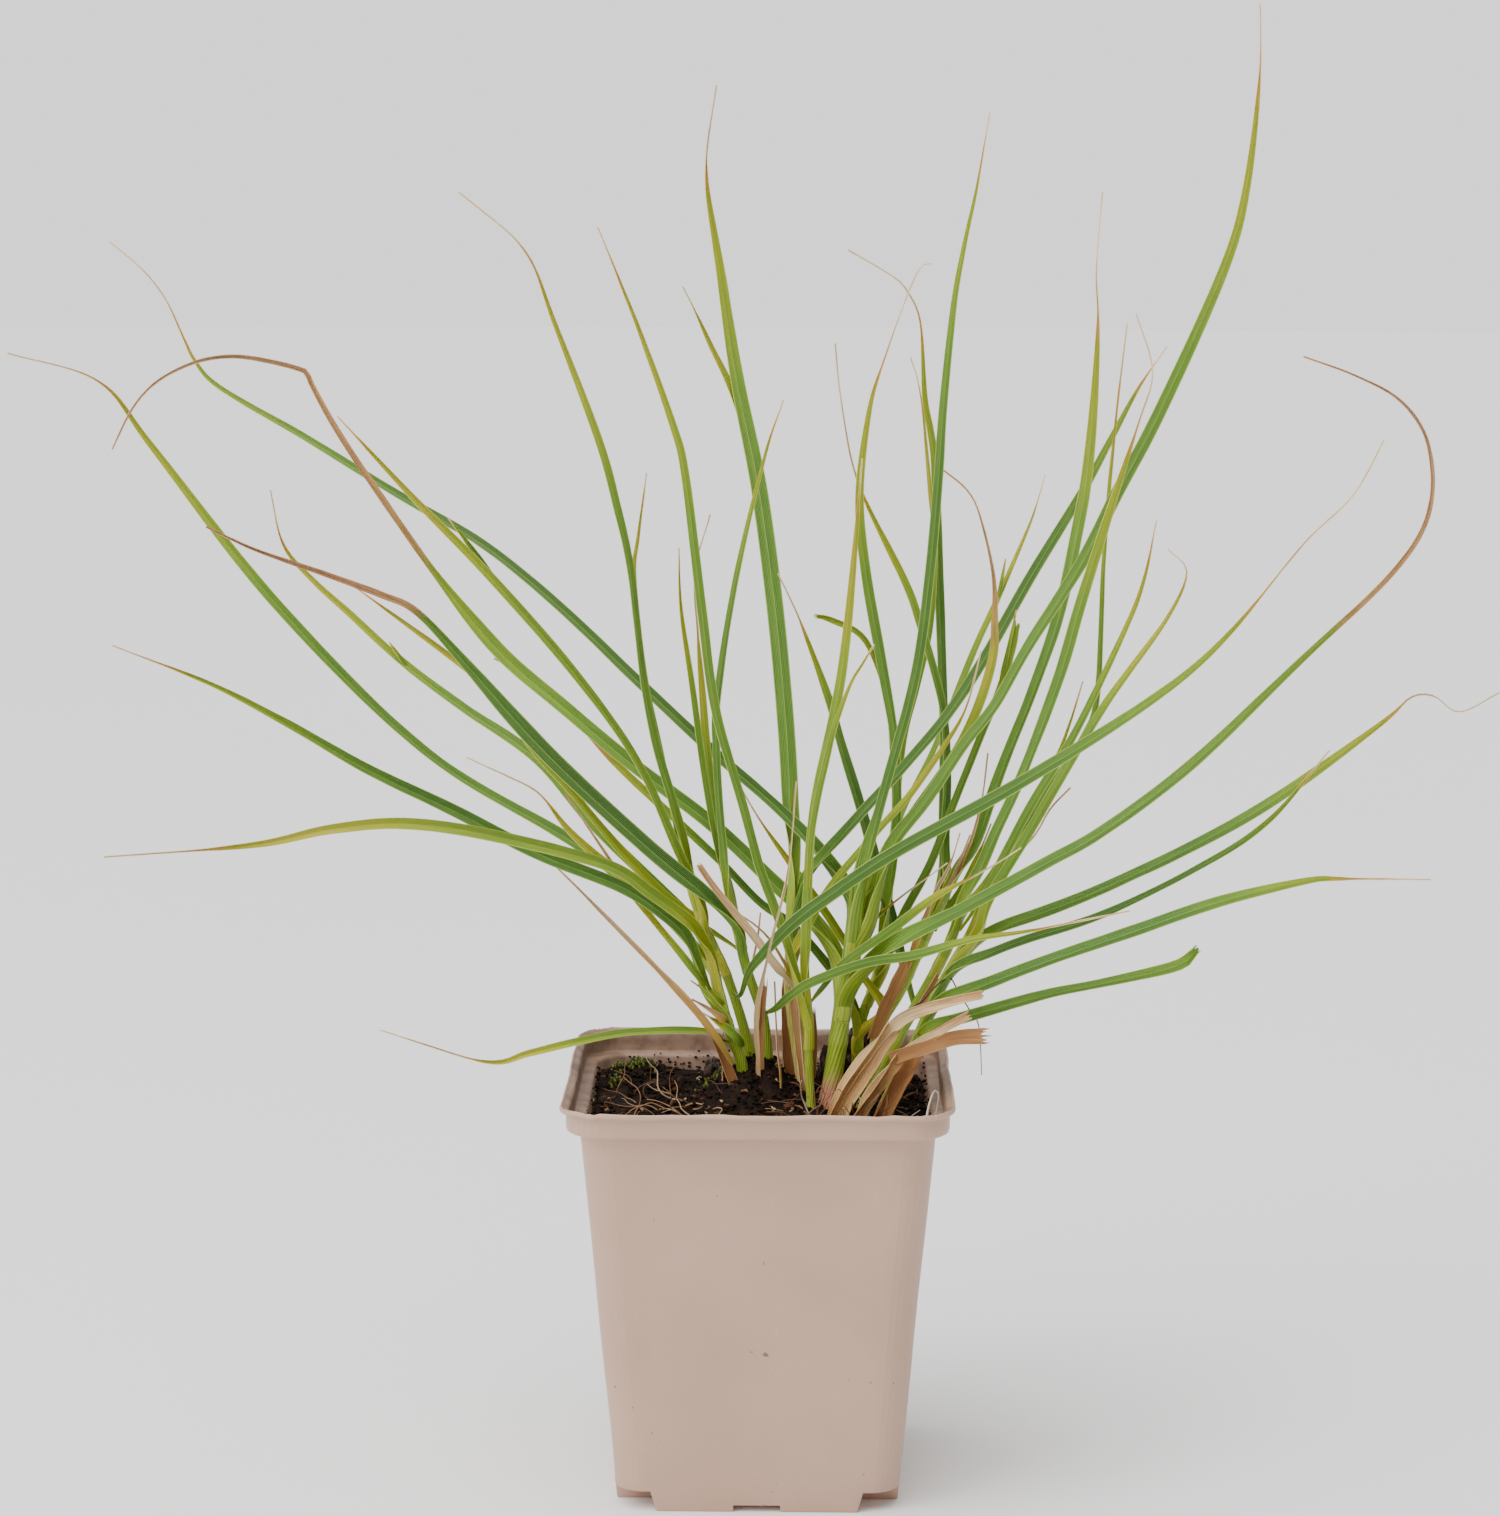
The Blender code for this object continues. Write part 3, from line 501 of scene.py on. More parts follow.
# Stems: node, radius at the base, radius at the top, tone, dryness, red foot, route from the base up.
STEMS = [
    ("stem_left_front", 1.4, 1.1, 0.45, 0, 0.35, [(-1.5, 1, 87), (-2.8, 0, 96.7), (-5.2, 0, 103),
     (-8.6, 0, 114.6), (-10, 0, 119.7)]),
    ("stem_left_middle", 1.4, 0.9, 0.5, 0, 0.3, [(0.5, 7.5, 89), (-0.3, 7, 95.3), (-3.4, 7, 106.8),
     (-7.8, 7, 119.1), (-11.4, 7, 125.4), (-15.3, 7, 137.7)]),
    ("stem_left_back", 1.4, 1, 0.4, 0, 0.3, [(4, 3.5, 87), (3.6, 3, 94.7), (2.4, 3, 106.3),
     (-1.7, 3, 118.5), (-3.9, 3, 127.9), (-5.3, 3, 133.7)]),
    ("sheath_centre", 1.6, 1.1, 0.85, 0.75, 0.2, [(12.9, 2, 81), (12.4, 2, 88), (10.5, 2, 100),
     (8.6, 2, 114.5), (9, 2, 126), (9.4, 2, 133.5)]),
    ("stem_centre", 1, 0.9, 0.6, 0.1, 0.2, [(14.3, -8, 81), (14, -8, 88), (13.4, -8, 97), (13.3, -8, 107),
     (12.9, -8, 112.3)]),
    ("stem_right_thick", 2.6, 1.9, 0.5, 0, 1.0, [(17.6, -5, 81), (18.1, -5, 87), (20.1, -5, 101),
     (21.5, -5, 111.9), (22.7, -5, 118), (24.6, -5, 132.9)]),
    ("stem_right_rear", 1.5, 1.1, 0.55, 0, 0.4, [(24.5, 15, 82), (25, 14.5, 92), (25.6, 14, 101),
     (27.1, 14, 106.8), (29.7, 14, 113.1), (31.2, 14, 120.8)]),
    ("stem_right_upper", 1.5, 1.1, 0.6, 0, 0.35, [(27.5, 7, 81), (29, 7, 97), (31, 6.5, 105),
     (34.9, 6, 111.7), (38, 6, 118), (43.8, 6, 131.7)]),
    ("stem_right_middle", 1.5, 1.1, 0.5, 0, 0.45, [(25.2, -6, 81), (26, -6, 87), (31, -6, 95.7),
     (36, -6, 106.7), (42, -6, 117.4), (48.1, -6, 129.5)]),
    ("stem_right_outer", 1.4, 1.1, 0.55, 0, 0.7, [(29.8, -12, 82), (30.8, -12, 88), (35.2, -12, 98.1),
     (39.2, -12, 105.9), (43.2, -12, 115.3), (51, -12, 129.5)]),
]

# Leaves, in the order of their numbers: stem, greatest width, roll from facing forward, tone, share of
# the length where drying starts, rust, route.
BLADES = {
    "left": [
        ("left_front", 3.1, 35, 0.4, 0.9, 0, [(-12.5, 4, 121), (-39.5, 9, 144.4), (-80.1, 20, 166.5),
         (-118, 28, 201.5), (-150, 31, 240.7), (-163, 28, 257.3), (-184, 20, 264.6)]),
        ("right_thick", 2.9, 35, 0.2, 0.88, 0, [(24.2, 1, 133.4), (20.9, 3, 139.2), (7.2, 7, 154.6),
         (-11.7, 11, 170.4), (-28.7, 17, 185.1), (-49, 26, 202.6), (-68.8, 36, 216.8), (-90.2, 46, 227.6),
         (-115.3, 57, 241.3), (-138.8, 67, 253.4), (-146, 72, 259.9), (-149.5, 75, 265.7),
         (-155, 78, 276.1), (-162, 81, 284), (-170.6, 84, 290.5)]),
        ("right_thick", 3.8, 25, 0.4, 0.635, 0.6, [(20.6, 0, 119.2), (17.7, 1, 125.2), (9.1, 7, 133.4),
         (-9.3, 10, 150.7), (-29.7, 13, 165.3), (-48.4, 17, 180), (-62.6, 20, 191.5), (-77.7, 20, 209.6),
         (-92.3, 19, 230.3), (-102.5, 17, 246), (-108.8, 15.4, 257.6), (-109.7, 15.1, 260.2),
         (-111.4, 14.6, 261.2), (-118.7, 12, 263.3), (-127, 7, 264.7), (-134.8, 1, 263.6),
         (-142.5, -2, 259.8), (-146.9, -4, 255.6), (-150, -5, 250.9), (-153.5, -6, 243.1)]),
        ("left_middle", 2.6, 30, 0.6, 0.96, 0, [(-12.5, 2, 132.7), (-17.7, 0, 145.3), (-28.3, -4, 169.1),
         (-43.3, -8, 190.9), (-62.9, -12, 214.1), (-80.2, -16, 232.4), (-98.1, -20, 252.2)]),
        ("left_back", 4.2, 20, 0.15, 0.755, 0.8, [(-4, -0.5, 129), (-13.5, -3, 138.4), (-25.8, -7, 149.4),
         (-43.1, -12, 166.1), (-54.8, -16, 178.8), (-67.7, -20, 194.3), (-78.7, -24, 206.8),
         (-86.6, -27, 211.1), (-100.8, -32, 217), (-114.8, -38, 222.7), (-125.3, -43, 228.4)]),
        ("left_middle", 2.4, 35, 0.8, 0.95, 0, [(-12.9, 10, 127.3), (-19.7, 11, 132.1), (-32, 10, 144.7),
         (-44.1, 6, 159.6), (-53.7, 2, 171), (-62.5, -2, 184.6), (-74.4, -5, 195.2), (-95.4, -11, 211.6)]),
        ("left_back", 3.0, 35, 0.5, 0.925, 0, [(-4.5, 7.5, 122.5), (-9.3, 11, 124.9), (-16.5, 15, 129),
         (-38.6, 20, 148.7), (-54.3, 28, 164.6), (-73.9, 38, 175.8), (-90.2, 46, 186.4),
         (-103.5, 52, 197.2), (-113, 55, 205.2), (-120.9, 56, 214.3), (-123.8, 53, 228.5)]),
        ("left_front", 3.2, 35, 0.32, 0.93, 0, [(-11.5, -3, 114.5), (-15.9, -5, 126.9), (-21.9, -8, 133.7),
         (-31.7, -12, 140.8), (-51, -20, 150), (-69.5, -28, 161), (-88.6, -36, 171.6), (-105.2, -44, 182.7),
         (-122.5, -52, 193.4), (-143.3, -62, 203.5)]),
        ("left_front", 3.1, 25, 0.62, 0.865, 0, [(-10.2, -1, 121.8), (-12.3, -3, 126), (-16, -7, 131.8),
         (-24.8, -14, 139.8), (-34.1, -22, 147.4), (-58.1, -38, 156.7), (-78, -50, 161.8),
         (-94.4, -60, 162.2), (-110.4, -69, 160.2), (-141, -84, 160.1)]),
        ("left_front", 2.2, 40, 0.6, 0.735, 0, [(-7.8, -2, 102.4), (-10.7, -2, 104.3), (-29.2, 0, 103.4),
         (-42.7, 2, 100.5), (-53.8, 3, 97.6), (-64.7, 4, 95.3), (-89.7, 2, 103.2)]),
        ("right_rear", 2.4, 30, 0.4, 0.745, 0.25, [(24, 13, 107), (17.3, 11, 117.9), (9.1, 10, 127.3),
         (1.1, 11, 132.6), (-9.4, 13, 142.9), (-24.8, 18, 156.2), (-36.3, 22, 166.3), (-52.3, 27, 182.5),
         (-64.9, 28, 189.3)]),
    ],
    "upper": [
        ("left_middle", 2.2, 25, 0.5, 0.87, 0, [(-15.7, 6, 140.1), (-17.6, 4, 149.4), (-20.1, 1, 160.2),
         (-23.6, -3, 173), (-26.5, -7, 188.4), (-28, -10, 201.3), (-29.8, -13, 217.5), (-32.7, -15, 230.9),
         (-36.9, -17, 246.8), (-47.4, -18, 274.4), (-54.7, -17, 291.5), (-70.4, -15, 304.9)]),
        ("left_middle", 1.7, 25, 0.6, 0.94, 0, [(-16.8, 9.5, 140.9), (-19.8, 6.5, 156), (-22.7, 5, 169.4),
         (-26.9, 4, 189.3), (-29.4, 6, 211.9), (-28.5, 7, 221.7), (-26.6, 8, 237)]),
        ("left_back", 2, 25, 0.4, 0.945, 0, [(-5.8, 2, 136.3), (-8.1, 1, 154.9), (-9.1, 0, 170.9),
         (-9, -1, 183.3), (-4.9, -3, 211), (2, -2, 241.4), (6.5, 0, 255.2)]),
        ("centre", 2.4, 20, 0.5, 0.945, 0, [(11.1, -9.5, 115.4), (9.2, -9, 121.3), (5.6, -8, 133.3),
         (1.4, -8, 144.4), (-2.7, -9, 159.5), (-9.3, -10, 182.3), (-12.7, -9, 206.2), (-16.8, -6, 237.4),
         (-19.9, -4, 249.4), (-29.3, 2, 274.2), (-38.7, 8, 296.2)]),
        ("left_back", 1.7, 25, 0.55, 0.95, 0, [(-7, 6.5, 138.5), (-9.8, 4.5, 151), (-12.6, 4.5, 167.7),
         (-15.2, 4, 186.1), (-18, 3, 204.7), (-18.5, 2, 219.5)]),
        ("sheath", 4.3, 15, 0.4, 0.9, 0, [(9, 1.5, 135.2), (9.1, 3, 141.6), (8.6, 11, 153.9),
         (7.4, 17, 174.5), (4.6, 24, 201.8), (0.1, 32, 231.8), (-5.5, 39, 257.4), (-10.1, 46, 285.1),
         (-13.8, 52, 309.9), (-11.4, 58, 331.5)]),
        ("right_rear", 1.6, 20, 0.6, 1, 0, [(31.5, 17.5, 122), (32, 19, 136.7), (33.8, 20, 152.4),
         (33.3, 21, 167.6), (31.8, 21, 181.6), (26.4, 18, 195.7), (18.3, 15, 200.7), (14.4, 14, 201.8)]),
        ("right_rear", 2.7, 20, 0.42, 0.84, 0, [(31.4, 13, 124.5), (33.6, 13, 142), (34.8, 12, 156.7),
         (34, 10, 172.5), (30.6, 8, 191.4), (26.5, 6, 213.1), (24.8, 5, 231.7), (26.9, 6, 250.7),
         (29.9, 8, 262.1), (38.4, 12, 284.9), (42.3, 13, 287.6)]),
        ("centre", 2.6, 20, 0.6, 0.93, 0, [(12.9, -7.2, 113.6), (12.7, -6, 127.3), (13, -5, 138.6),
         (14.6, -4, 158.8), (19.4, -3, 181.9), (21.8, -2, 198.7), (24, -1, 222.9), (25.4, -1, 241.4)]),
        ("right_upper", 2.6, 30, 0.4, 0.765, 0, [(45.6, 8, 134), (45.6, 9, 145.1), (45.9, 10, 154.1),
         (46.1, 10, 165.7), (44.7, 10, 181.7), (39.2, 13, 201.2), (35.6, 15, 210.9), (24.5, 19, 234.2),
         (20.3, 18, 254.7), (18.8, 16, 268)]),
        ("right_thick", 2.4, 25, 0.32, 0.945, 0, [(24.8, -6, 136.6), (27.2, -7, 148), (31.2, -9, 164.2),
         (38, -13, 191.1), (41.2, -16, 215.5), (43.2, -18, 239.6), (44.2, -18, 255.4), (47.3, -15, 283.2),
         (52.1, -9, 306), (55.4, -4, 324.3)]),
        ("right_thick", 2.5, 30, 0.55, 0.7, 0.4, [(26.6, -1, 135.7), (35.5, 2, 151.9), (46.4, 4, 167.2),
         (51.2, 5, 175.4), (54.9, 5, 184.4), (57.2, 2, 194.3), (57.3, -1, 201.9), (56.7, -5, 214.4),
         (53.2, -9, 228.8), (50, -11, 234.9), (44.5, -11, 239.5)]),
        ("right_upper", 2.5, 20, 0.35, 0.845, 0, [(44.6, 9, 138), (45.4, 13, 148), (45.7, 18, 163.8),
         (45.9, 22, 173.2), (45.4, 22, 187.3), (44.5, 22, 211.7), (43.5, 22, 236.7), (42.4, 22, 246.1),
         (40.9, 22, 254.5), (39.8, 22, 272.8), (36.5, 22, 280.5), (32.8, 22, 284.3), (22, 22, 290.6)]),
    ],
    "right": [
        ("right_rear", 2, 40, 0.6, 0.95, 0, [(33, 20, 126.7), (34.9, 26, 147.7), (44.6, 36, 166.8),
         (54.6, 50, 188.9), (61.4, 60, 201.9), (70, 72, 219.6), (74.1, 80, 230.8)]),
        ("sheath", 2.9, 30, 0.22, 0.93, 0, [(11.5, 0.5, 137.8), (13.7, 0, 142.2), (25.4, 0, 155.8),
         (35.3, 2, 166.3), (46.4, 3, 179.5), (55.7, 8, 193), (66.9, 18, 211.1), (80.3, 32, 230.6),
         (88.5, 42, 243.7), (95.9, 52, 255.4), (103.9, 62, 265.2)]),
        ("right_thick", 3.4, 25, 0.4, 0.93, 0, [(27.5, -5, 131), (29.4, -4.5, 138.7), (33.7, -3, 149.9),
         (41.6, -3, 160.4), (50.2, -3, 173.3), (57.6, -4, 182.9), (65.6, -4, 197.2), (77.7, -5, 216.7),
         (86.4, -7, 234.7), (95.5, -9, 252.9), (110.3, -10, 286.6), (115.9, -8, 305.7), (119.6, -3, 332.4),
         (120, 0, 350.4)]),
        ("right_upper", 3.4, 25, 0.4, 0.83, 0, [(44.9, 3, 134), (49.5, 3, 142.5), (53.3, 3, 148.8),
         (59.6, 3, 166.8), (66.5, 3, 184.1), (73.4, 6, 203.9), (78.1, 11, 224.9), (80.3, 15, 236.9),
         (82.3, 21, 254.3), (83.7, 28, 273.3), (83.6, 33, 285.8), (85.6, 40, 304.8)]),
        ("right_middle", 1.7, 30, 0.5, 0.89, 0, [(49.7, -2, 132.2), (54.6, -1, 138.1), (60.5, -2, 147.8),
         (70.1, -2, 162.1), (78.8, 0, 175), (82.2, 1, 185.6), (83.8, 3, 219.6), (86.3, 4, 250.3),
         (89, 5, 273.6)]),
        ("right_middle", 3.1, 25, 0.4, 0.82, 0, [(48.4, -7, 131.1), (50, -7, 136.6), (53.5, -8, 143.7),
         (57.3, -9, 152.8), (63.9, -10, 167.5), (72.3, -11, 190.8), (77.2, -12, 208.9), (84.6, -14, 233.4),
         (89.9, -16, 250.5), (93.3, -17, 263.3), (89.3, -17, 276.9)]),
        ("right_outer", 2.2, 30, 0.5, 0.94, 0, [(53, -10.5, 132), (55.8, -11, 140.6), (65.1, -13, 159.9),
         (76.1, -14, 178.5), (87.5, -16, 203), (91.7, -17, 215.1), (94.2, -18, 228.4)]),
        ("right_outer", 2.4, 30, 0.55, 0.93, 0, [(53.5, -14.5, 131), (56, -16, 139.7), (64.8, -19, 155.5),
         (80.3, -24, 183.2), (87.9, -26, 194.7), (96.1, -28, 206.8), (100.4, -29, 217.5),
         (96.2, -26, 222.6)]),
        ("left_middle", 3.2, 25, 0.25, 0.79, 0, [(-3, -2, 113), (-1.1, -6, 119.2), (2.3, -10, 124.4),
         (9.2, -14, 132.5), (18.1, -16, 139.7), (33.3, -19, 150.6), (62.2, -27, 168.1), (91, -38, 188.4),
         (107.3, -44, 203.5), (124.5, -51, 226.3), (135.2, -54, 237.6), (141.9, -56, 250.4)]),
        ("right_thick", 3.1, 25, 0.35, 0.7, 0.7, [(25, -9, 119.5), (35.8, -15, 129.2), (51.3, -22, 139),
         (68.7, -28, 149.9), (81.4, -32, 158), (101.1, -36, 173.9), (126.2, -38, 198.8),
         (147.5, -32, 217.9), (157.4, -22, 231.1), (158.6, -13, 246.1), (153, -8, 255.9),
         (142.5, -5, 261.9), (130.3, -3, 266.3)]),
        ("left_back", 2.4, 30, 0.4, 0.8, 0, [(3.2, -1, 108.7), (5.6, -6, 110.9), (9.2, -12.5, 115.4),
         (14.6, -15, 119.3), (26.6, -16, 123.9), (37.8, -20, 126.5), (51.2, -24, 131), (64.2, -28, 133.9),
         (87, -34, 139.9)]),
        ("right_thick", 2.2, 30, 0.5, 0.75, 0, [(20, -10, 121), (24.5, -11.5, 125), (33.5, -14, 132),
         (42.5, -18, 139.6), (55.8, -21, 147.5), (62.6, -24, 152.5)]),
        ("centre", 1.5, 30, 0.5, 0.7, 0, [(14.5, -4.5, 113), (18.5, 4, 116), (22.3, 5, 121.2),
         (26.4, 5, 127.3), (33.9, 4, 134.5), (46.4, 2, 144.2)]),
        ("right_outer", 3.1, 35, 0.35, 0.82, 0, [(52.5, -9, 127), (60.9, -7, 131.1), (80.3, -2, 137.5),
         (105.2, 5, 147.7), (126.7, 12, 158.6), (153, 21, 175.5), (160.5, 24, 181.4), (166.5, 26, 181.4),
         (173, 28, 177.2), (183.2, 30, 181.8)]),
        ("right_outer", 2.2, 35, 0.2, 0.93, 0, [(47.5, -15.5, 122), (55.9, -18, 126.7), (64.8, -19, 130.4),
         (82.4, -19, 136.1), (103, -17, 145.8), (120.7, -14, 156.8), (136.3, -8, 173.1)]),
        ("right_outer", 3.3, 35, 0.25, 0.865, 0, [(44, -16, 114.5), (51.4, -20, 118.4), (68.5, -30, 127.3),
         (87.4, -40, 136.2), (106.2, -48, 144.7), (124.8, -56, 151.1), (132.2, -59, 152.2),
         (151.1, -66, 153.5)]),
        ("right_outer", 3.0, 35, 0.4, 1, 0, [(41.5, -15.5, 108), (50.3, -18, 111.7), (68.7, -24, 118.2),
         (81.7, -28, 121.8), (97.9, -33, 127), (102.7, -34, 131.1)]),
        ("sheath", 2, 25, 0.7, 0.85, 0, [(10.5, -2, 124), (17.3, -2.5, 137.6), (29.7, -1.5, 152.5),
         (37.1, 0, 160.6), (45.5, 0, 172.8), (50.5, -1, 181.9), (54, -2, 195.6)]),
        ("right_rear", 2.2, 25, 0.5, 1, 0, [(32.5, 9.5, 119), (35.4, 9, 128.9), (42.4, 6, 143),
         (46.9, 5, 154.9), (53.2, 7, 170.5), (59.6, 9, 186.2), (63.5, 10, 200.6)]),
        ("right_rear", 2.2, 25, 0.8, 0.85, 0, [(31, 10.5, 107), (26.5, 9.5, 115), (22.2, 9, 122.9),
         (15.6, 10, 132.8), (7.9, 9, 143.6), (1.1, 7, 153.6), (-3.6, 5, 161.9)]),
    ],
}

# Dead leaves, in the order of their numbers: greatest width, roll, route.
DEAD_LEAVES = [
    (3.4, 20, [(18.5, -12, 86.5), (20.3, -13, 91.3), (26.9, -14, 101.4), (32.3, -15, 107.8),
     (35.7, -17.5, 111.5), (40.3, -21, 114.2), (46.7, -24, 116.5), (53.6, -27, 118.5)]),
    (3.0, 25, [(24.5, -16.5, 86.2), (26.6, -17, 90.8), (30.3, -17, 96.4), (35.5, -18, 102.5),
     (42, -21, 107.4), (50.7, -25, 113.7)]),
    (2.4, 25, [(13.7, -3, 87.5), (12, -3, 102.4), (11.5, -3, 109.8), (9.9, -3, 114.6), (4.6, -4, 121.4),
     (-0.2, -4, 127.9), (-9.2, -6, 139.2), (-13.2, -7, 144.9)]),
    (1.3, 20, [(1.6, -3.6, 88.8), (1.3, -4, 98.5), (0.8, -6, 109.2), (2.1, -10, 117.3), (4.7, -17, 130.5),
     (6.8, -18, 138.7), (8.5, -17, 147.5), (10.1, -14, 166.2)]),
]

# Thin dry leaves and short side leaves: group, width, roll, tone, share where drying starts, route.
WISPS = [
    ("dry", 2.4, 30, 0.6, 0.0, [(-4.7, -4, 97), (-11.3, -6, 107), (-25.8, -6, 123), (-50, -6, 147)]),
    ("green", 2.2, 30, 0.6, 0.72, [(-9, 1, 118), (-14, 1, 124), (-25, 0, 135), (-36.5, -2, 145),
     (-44.6, -2, 152.5), (-51.5, -2, 161), (-59, -2, 165), (-69, -2, 169.5)]),
    ("green", 2.0, 30, 0.6, 0.55, [(-10, -2, 113), (-14.8, -8, 121), (-28.8, -8, 138), (-34.3, -8, 146.5),
     (-45, -8, 162)]),
    ("green", 2.0, 25, 0.6, 0.7, [(-5.4, 5, 130), (-10.9, 8, 164), (-13, 8, 185.6), (-14, 8, 198),
     (-14.8, 8, 213), (-11.2, 8, 227)]),
    ("green", 2.0, 25, 0.85, 0.85, [(-1.5, 35, 238), (-2.7, 37, 243), (-5, 38, 250.6), (-8, 38, 258),
     (-12, 38, 266), (-16, 37, 275), (-19, 36, 281)]),
    ("green", 1.2, 30, 0.5, 0.9, [(-61, -11, 212), (-65.4, -10, 218), (-73, -10, 227.6)]),
    ("green", 1.9, 20, 0.6, 0.93, [(31, 15, 116), (32.2, 16.5, 124), (34, 19.5, 150), (36, 20.5, 171),
     (39.2, 21, 184), (42.5, 20, 200), (43.4, 19, 220.4), (42.2, 16, 232.5), (40.5, 16, 250.2),
     (39.1, 16, 259.1), (37.3, 16, 264.7)]),
    ("green", 3.2, 25, 0.3, 0.87, [(38.7, 14, 108), (35.8, 14, 118.2), (32.9, 14, 129.1), (29.7, 14, 140),
     (26.3, 14, 152.2), (20.7, 14, 170.4), (17.6, 14, 181.4), (14.2, 14, 191.1), (10.8, 14, 200.3),
     (8.6, 14, 205.2), (5.2, 14, 212.2)]),
    ("green", 1.6, 25, 0.6, 0.95, [(12.9, -9, 140), (13.8, -9, 152), (15.1, -9, 160.9), (17.5, -9, 171.6),
     (19.4, -9, 179.1), (22.9, -9, 188.6), (25.8, -9, 193.6), (28.4, -9, 197.9)]),
    ("green", 1.5, 30, 0.5, 0.9, [(49, -8, 130), (53, -8, 136), (60, -6, 149), (65.5, -6, 159),
     (72, -6, 171), (75, -6, 179), (78, -6, 189)]),
    ("green", 1.5, 30, 0.7, 0.5, [(12.5, -3, 104), (12, -3, 108), (10.3, -1, 115), (7.7, -1, 120),
     (4, -1, 126), (0.5, -1, 129.5), (-3.3, -1, 132)]),
    ("dry", 1.5, 30, 0.7, 0.1, [(43, 5, 130), (46, 4, 136), (51, 2, 147), (53.7, 2, 155.5), (55, 2, 162),
     (56, 2, 170.6)]),
    ("dry", 2.0, 30, 0.7, 0.0, [(37, 5, 119), (38, 3, 122), (43, 0, 136.6), (46.7, 0, 143.6),
     (49.3, 0, 151.7)]),
    ("dry", 1.5, 30, 0.7, 0.0, [(44, 4, 132), (45, 2, 135), (48.7, 2, 143), (51.8, 2, 151)]),
    ("green", 2.0, 30, 0.6, 0.8, [(43.5, 6, 127), (45, 6, 130), (50.5, 6, 138), (54, 6, 145.6),
     (57, 6, 153)]),
    ("dry", 1.2, 30, 0.7, 0.1, [(51, -12, 130), (54, -13, 136), (62, -14, 148.5), (66.5, -14, 154),
     (70, -14, 160), (74.7, -14, 165)]),
    ("dry", 0.6, 30, 0.7, 0.0, [(6.8, -5, 88), (6.5, -5, 95.5), (5.8, -5, 101), (5, -5, 117)]),
    ("dry", 0.6, 30, 0.7, 0.0, [(-0.6, -1, 117), (-0.2, -3, 121), (1, -3, 127), (1.7, -3, 133)]),
    ("green", 2.4, 20, 0.7, 0.75, [(-7, -1, 110), (-9, -3, 112), (-12, -3, 114.6), (-15, -3, 116.7)]),
    ("dry", 2.2, 20, 0.7, 0.1, [(-6, -1, 106), (-7.6, -3, 107.7), (-11, -3, 110.2), (-14.7, -3, 112.2)]),
    ("green", 2.2, 20, 0.55, 0.8, [(-2.5, -1, 100.5), (-3.7, -3, 103), (-8, -3, 106.4), (-12, -3, 109)]),
    ("green", 1.2, 30, 0.6, 0.9, [(-86, 44, 183), (-88, 45, 184.6), (-92.7, 46, 191)]),
    ("green", 1.2, 30, 0.6, 0.9, [(60.4, 59, 200), (61.4, 60, 202.6), (63, 62, 211)]),
    ("green", 1.2, 30, 0.6, 0.9, [(59, 9, 186), (61, 9.6, 194), (63, 10, 204)]),
]

# Papery sheaths round the stems' feet: width at the base, width at the top, curl, roll, tone, route.
SHEATHS = [
    (5.4, 4.2, 150, 5, 0.25, [(9.5, 5, 84), (8.9, 4.6, 96), (8.7, 4.4, 106), (8.7, 4.2, 114.5)]),
    (3.8, 2.6, 170, -10, 0.75, [(14, -1.5, 84), (12.8, -1.6, 92), (11, -1.6, 104), (9.4, -1.5, 114.7)]),
    (2.0, 1.2, 60, 10, 0.3, [(14, 4, 92), (14.6, 4, 100), (14.4, 4, 108)]),
    (6.2, 5.0, 175, 15, 0.85, [(19.5, -12, 85), (22.1, -13.6, 91.3), (27.5, -14.5, 100.5),
     (32.8, -14.5, 109.3)]),
    (4.0, 3.2, 140, 20, 0.5, [(19, -8.5, 86), (21.5, -9, 91), (26, -9.5, 97), (31, -9.5, 103.5)]),
    (4.4, 3.0, 130, 25, 0.6, [(23, -16.5, 84), (25.1, -17.5, 89), (30, -18, 96), (34.8, -18, 102.6)]),
    (6.4, 4.6, 190, 10, 0.35, [(28, -14, 84), (30.5, -14.6, 89), (34.5, -14.8, 96), (38.5, -14.6, 102.5)]),
    (4.6, 3.2, 150, 20, 0.45, [(28, 2, 102), (30.9, 2, 109), (34, 2, 115), (36.5, 2, 120.5)]),
    (3.0, 1.6, 120, 10, 0.5, [(38.5, -9, 110), (41, -9.4, 114), (43.8, -9.4, 119.5)]),
    (3.4, 2.0, 160, 15, 0.3, [(-4.5, -2.5, 92), (-7.2, -3, 99), (-10.6, -3.2, 105.5)]),
    (2.6, 1.6, 120, 15, 0.55, [(2.2, -1.5, 88), (1.6, -2, 96), (1.8, -2, 106), (2.6, -2, 116)]),
    (3.0, 4.0, 40, 0, 0.4, [(32.5, -17, 101.5), (36, -20, 103.6), (42, -22, 106), (47.5, -22, 107.8),
     (54.6, -22, 108.2)]),
]


# The routes are laid out as seen level, from EYE_BACK away at the height LAYOUT_EYE, with the clump's
# middle at LAYOUT_MIDDLE. They stand as seen a little from above, from the height EYE_HEIGHT.
EYE_BACK, LAYOUT_EYE, LAYOUT_MIDDLE = 936.0, 315.0, 12.0
EYE_HEIGHT, MIDDLE = 318.9, 10.4


def stood(route):
    """The route's points drawn in towards the clump's middle with height, and set on the pot's foot."""
    placed = []
    for x, y, z in route:
        reach = EYE_BACK + y
        rise = (z - LAYOUT_EYE) / reach
        gather = 1.0115 + 0.1491 * rise
        placed.append((MIDDLE + 0.977 * (x - LAYOUT_MIDDLE) / gather, y,
                       EYE_HEIGHT + (0.9655 * rise - 0.0025) * reach / gather))
    return placed


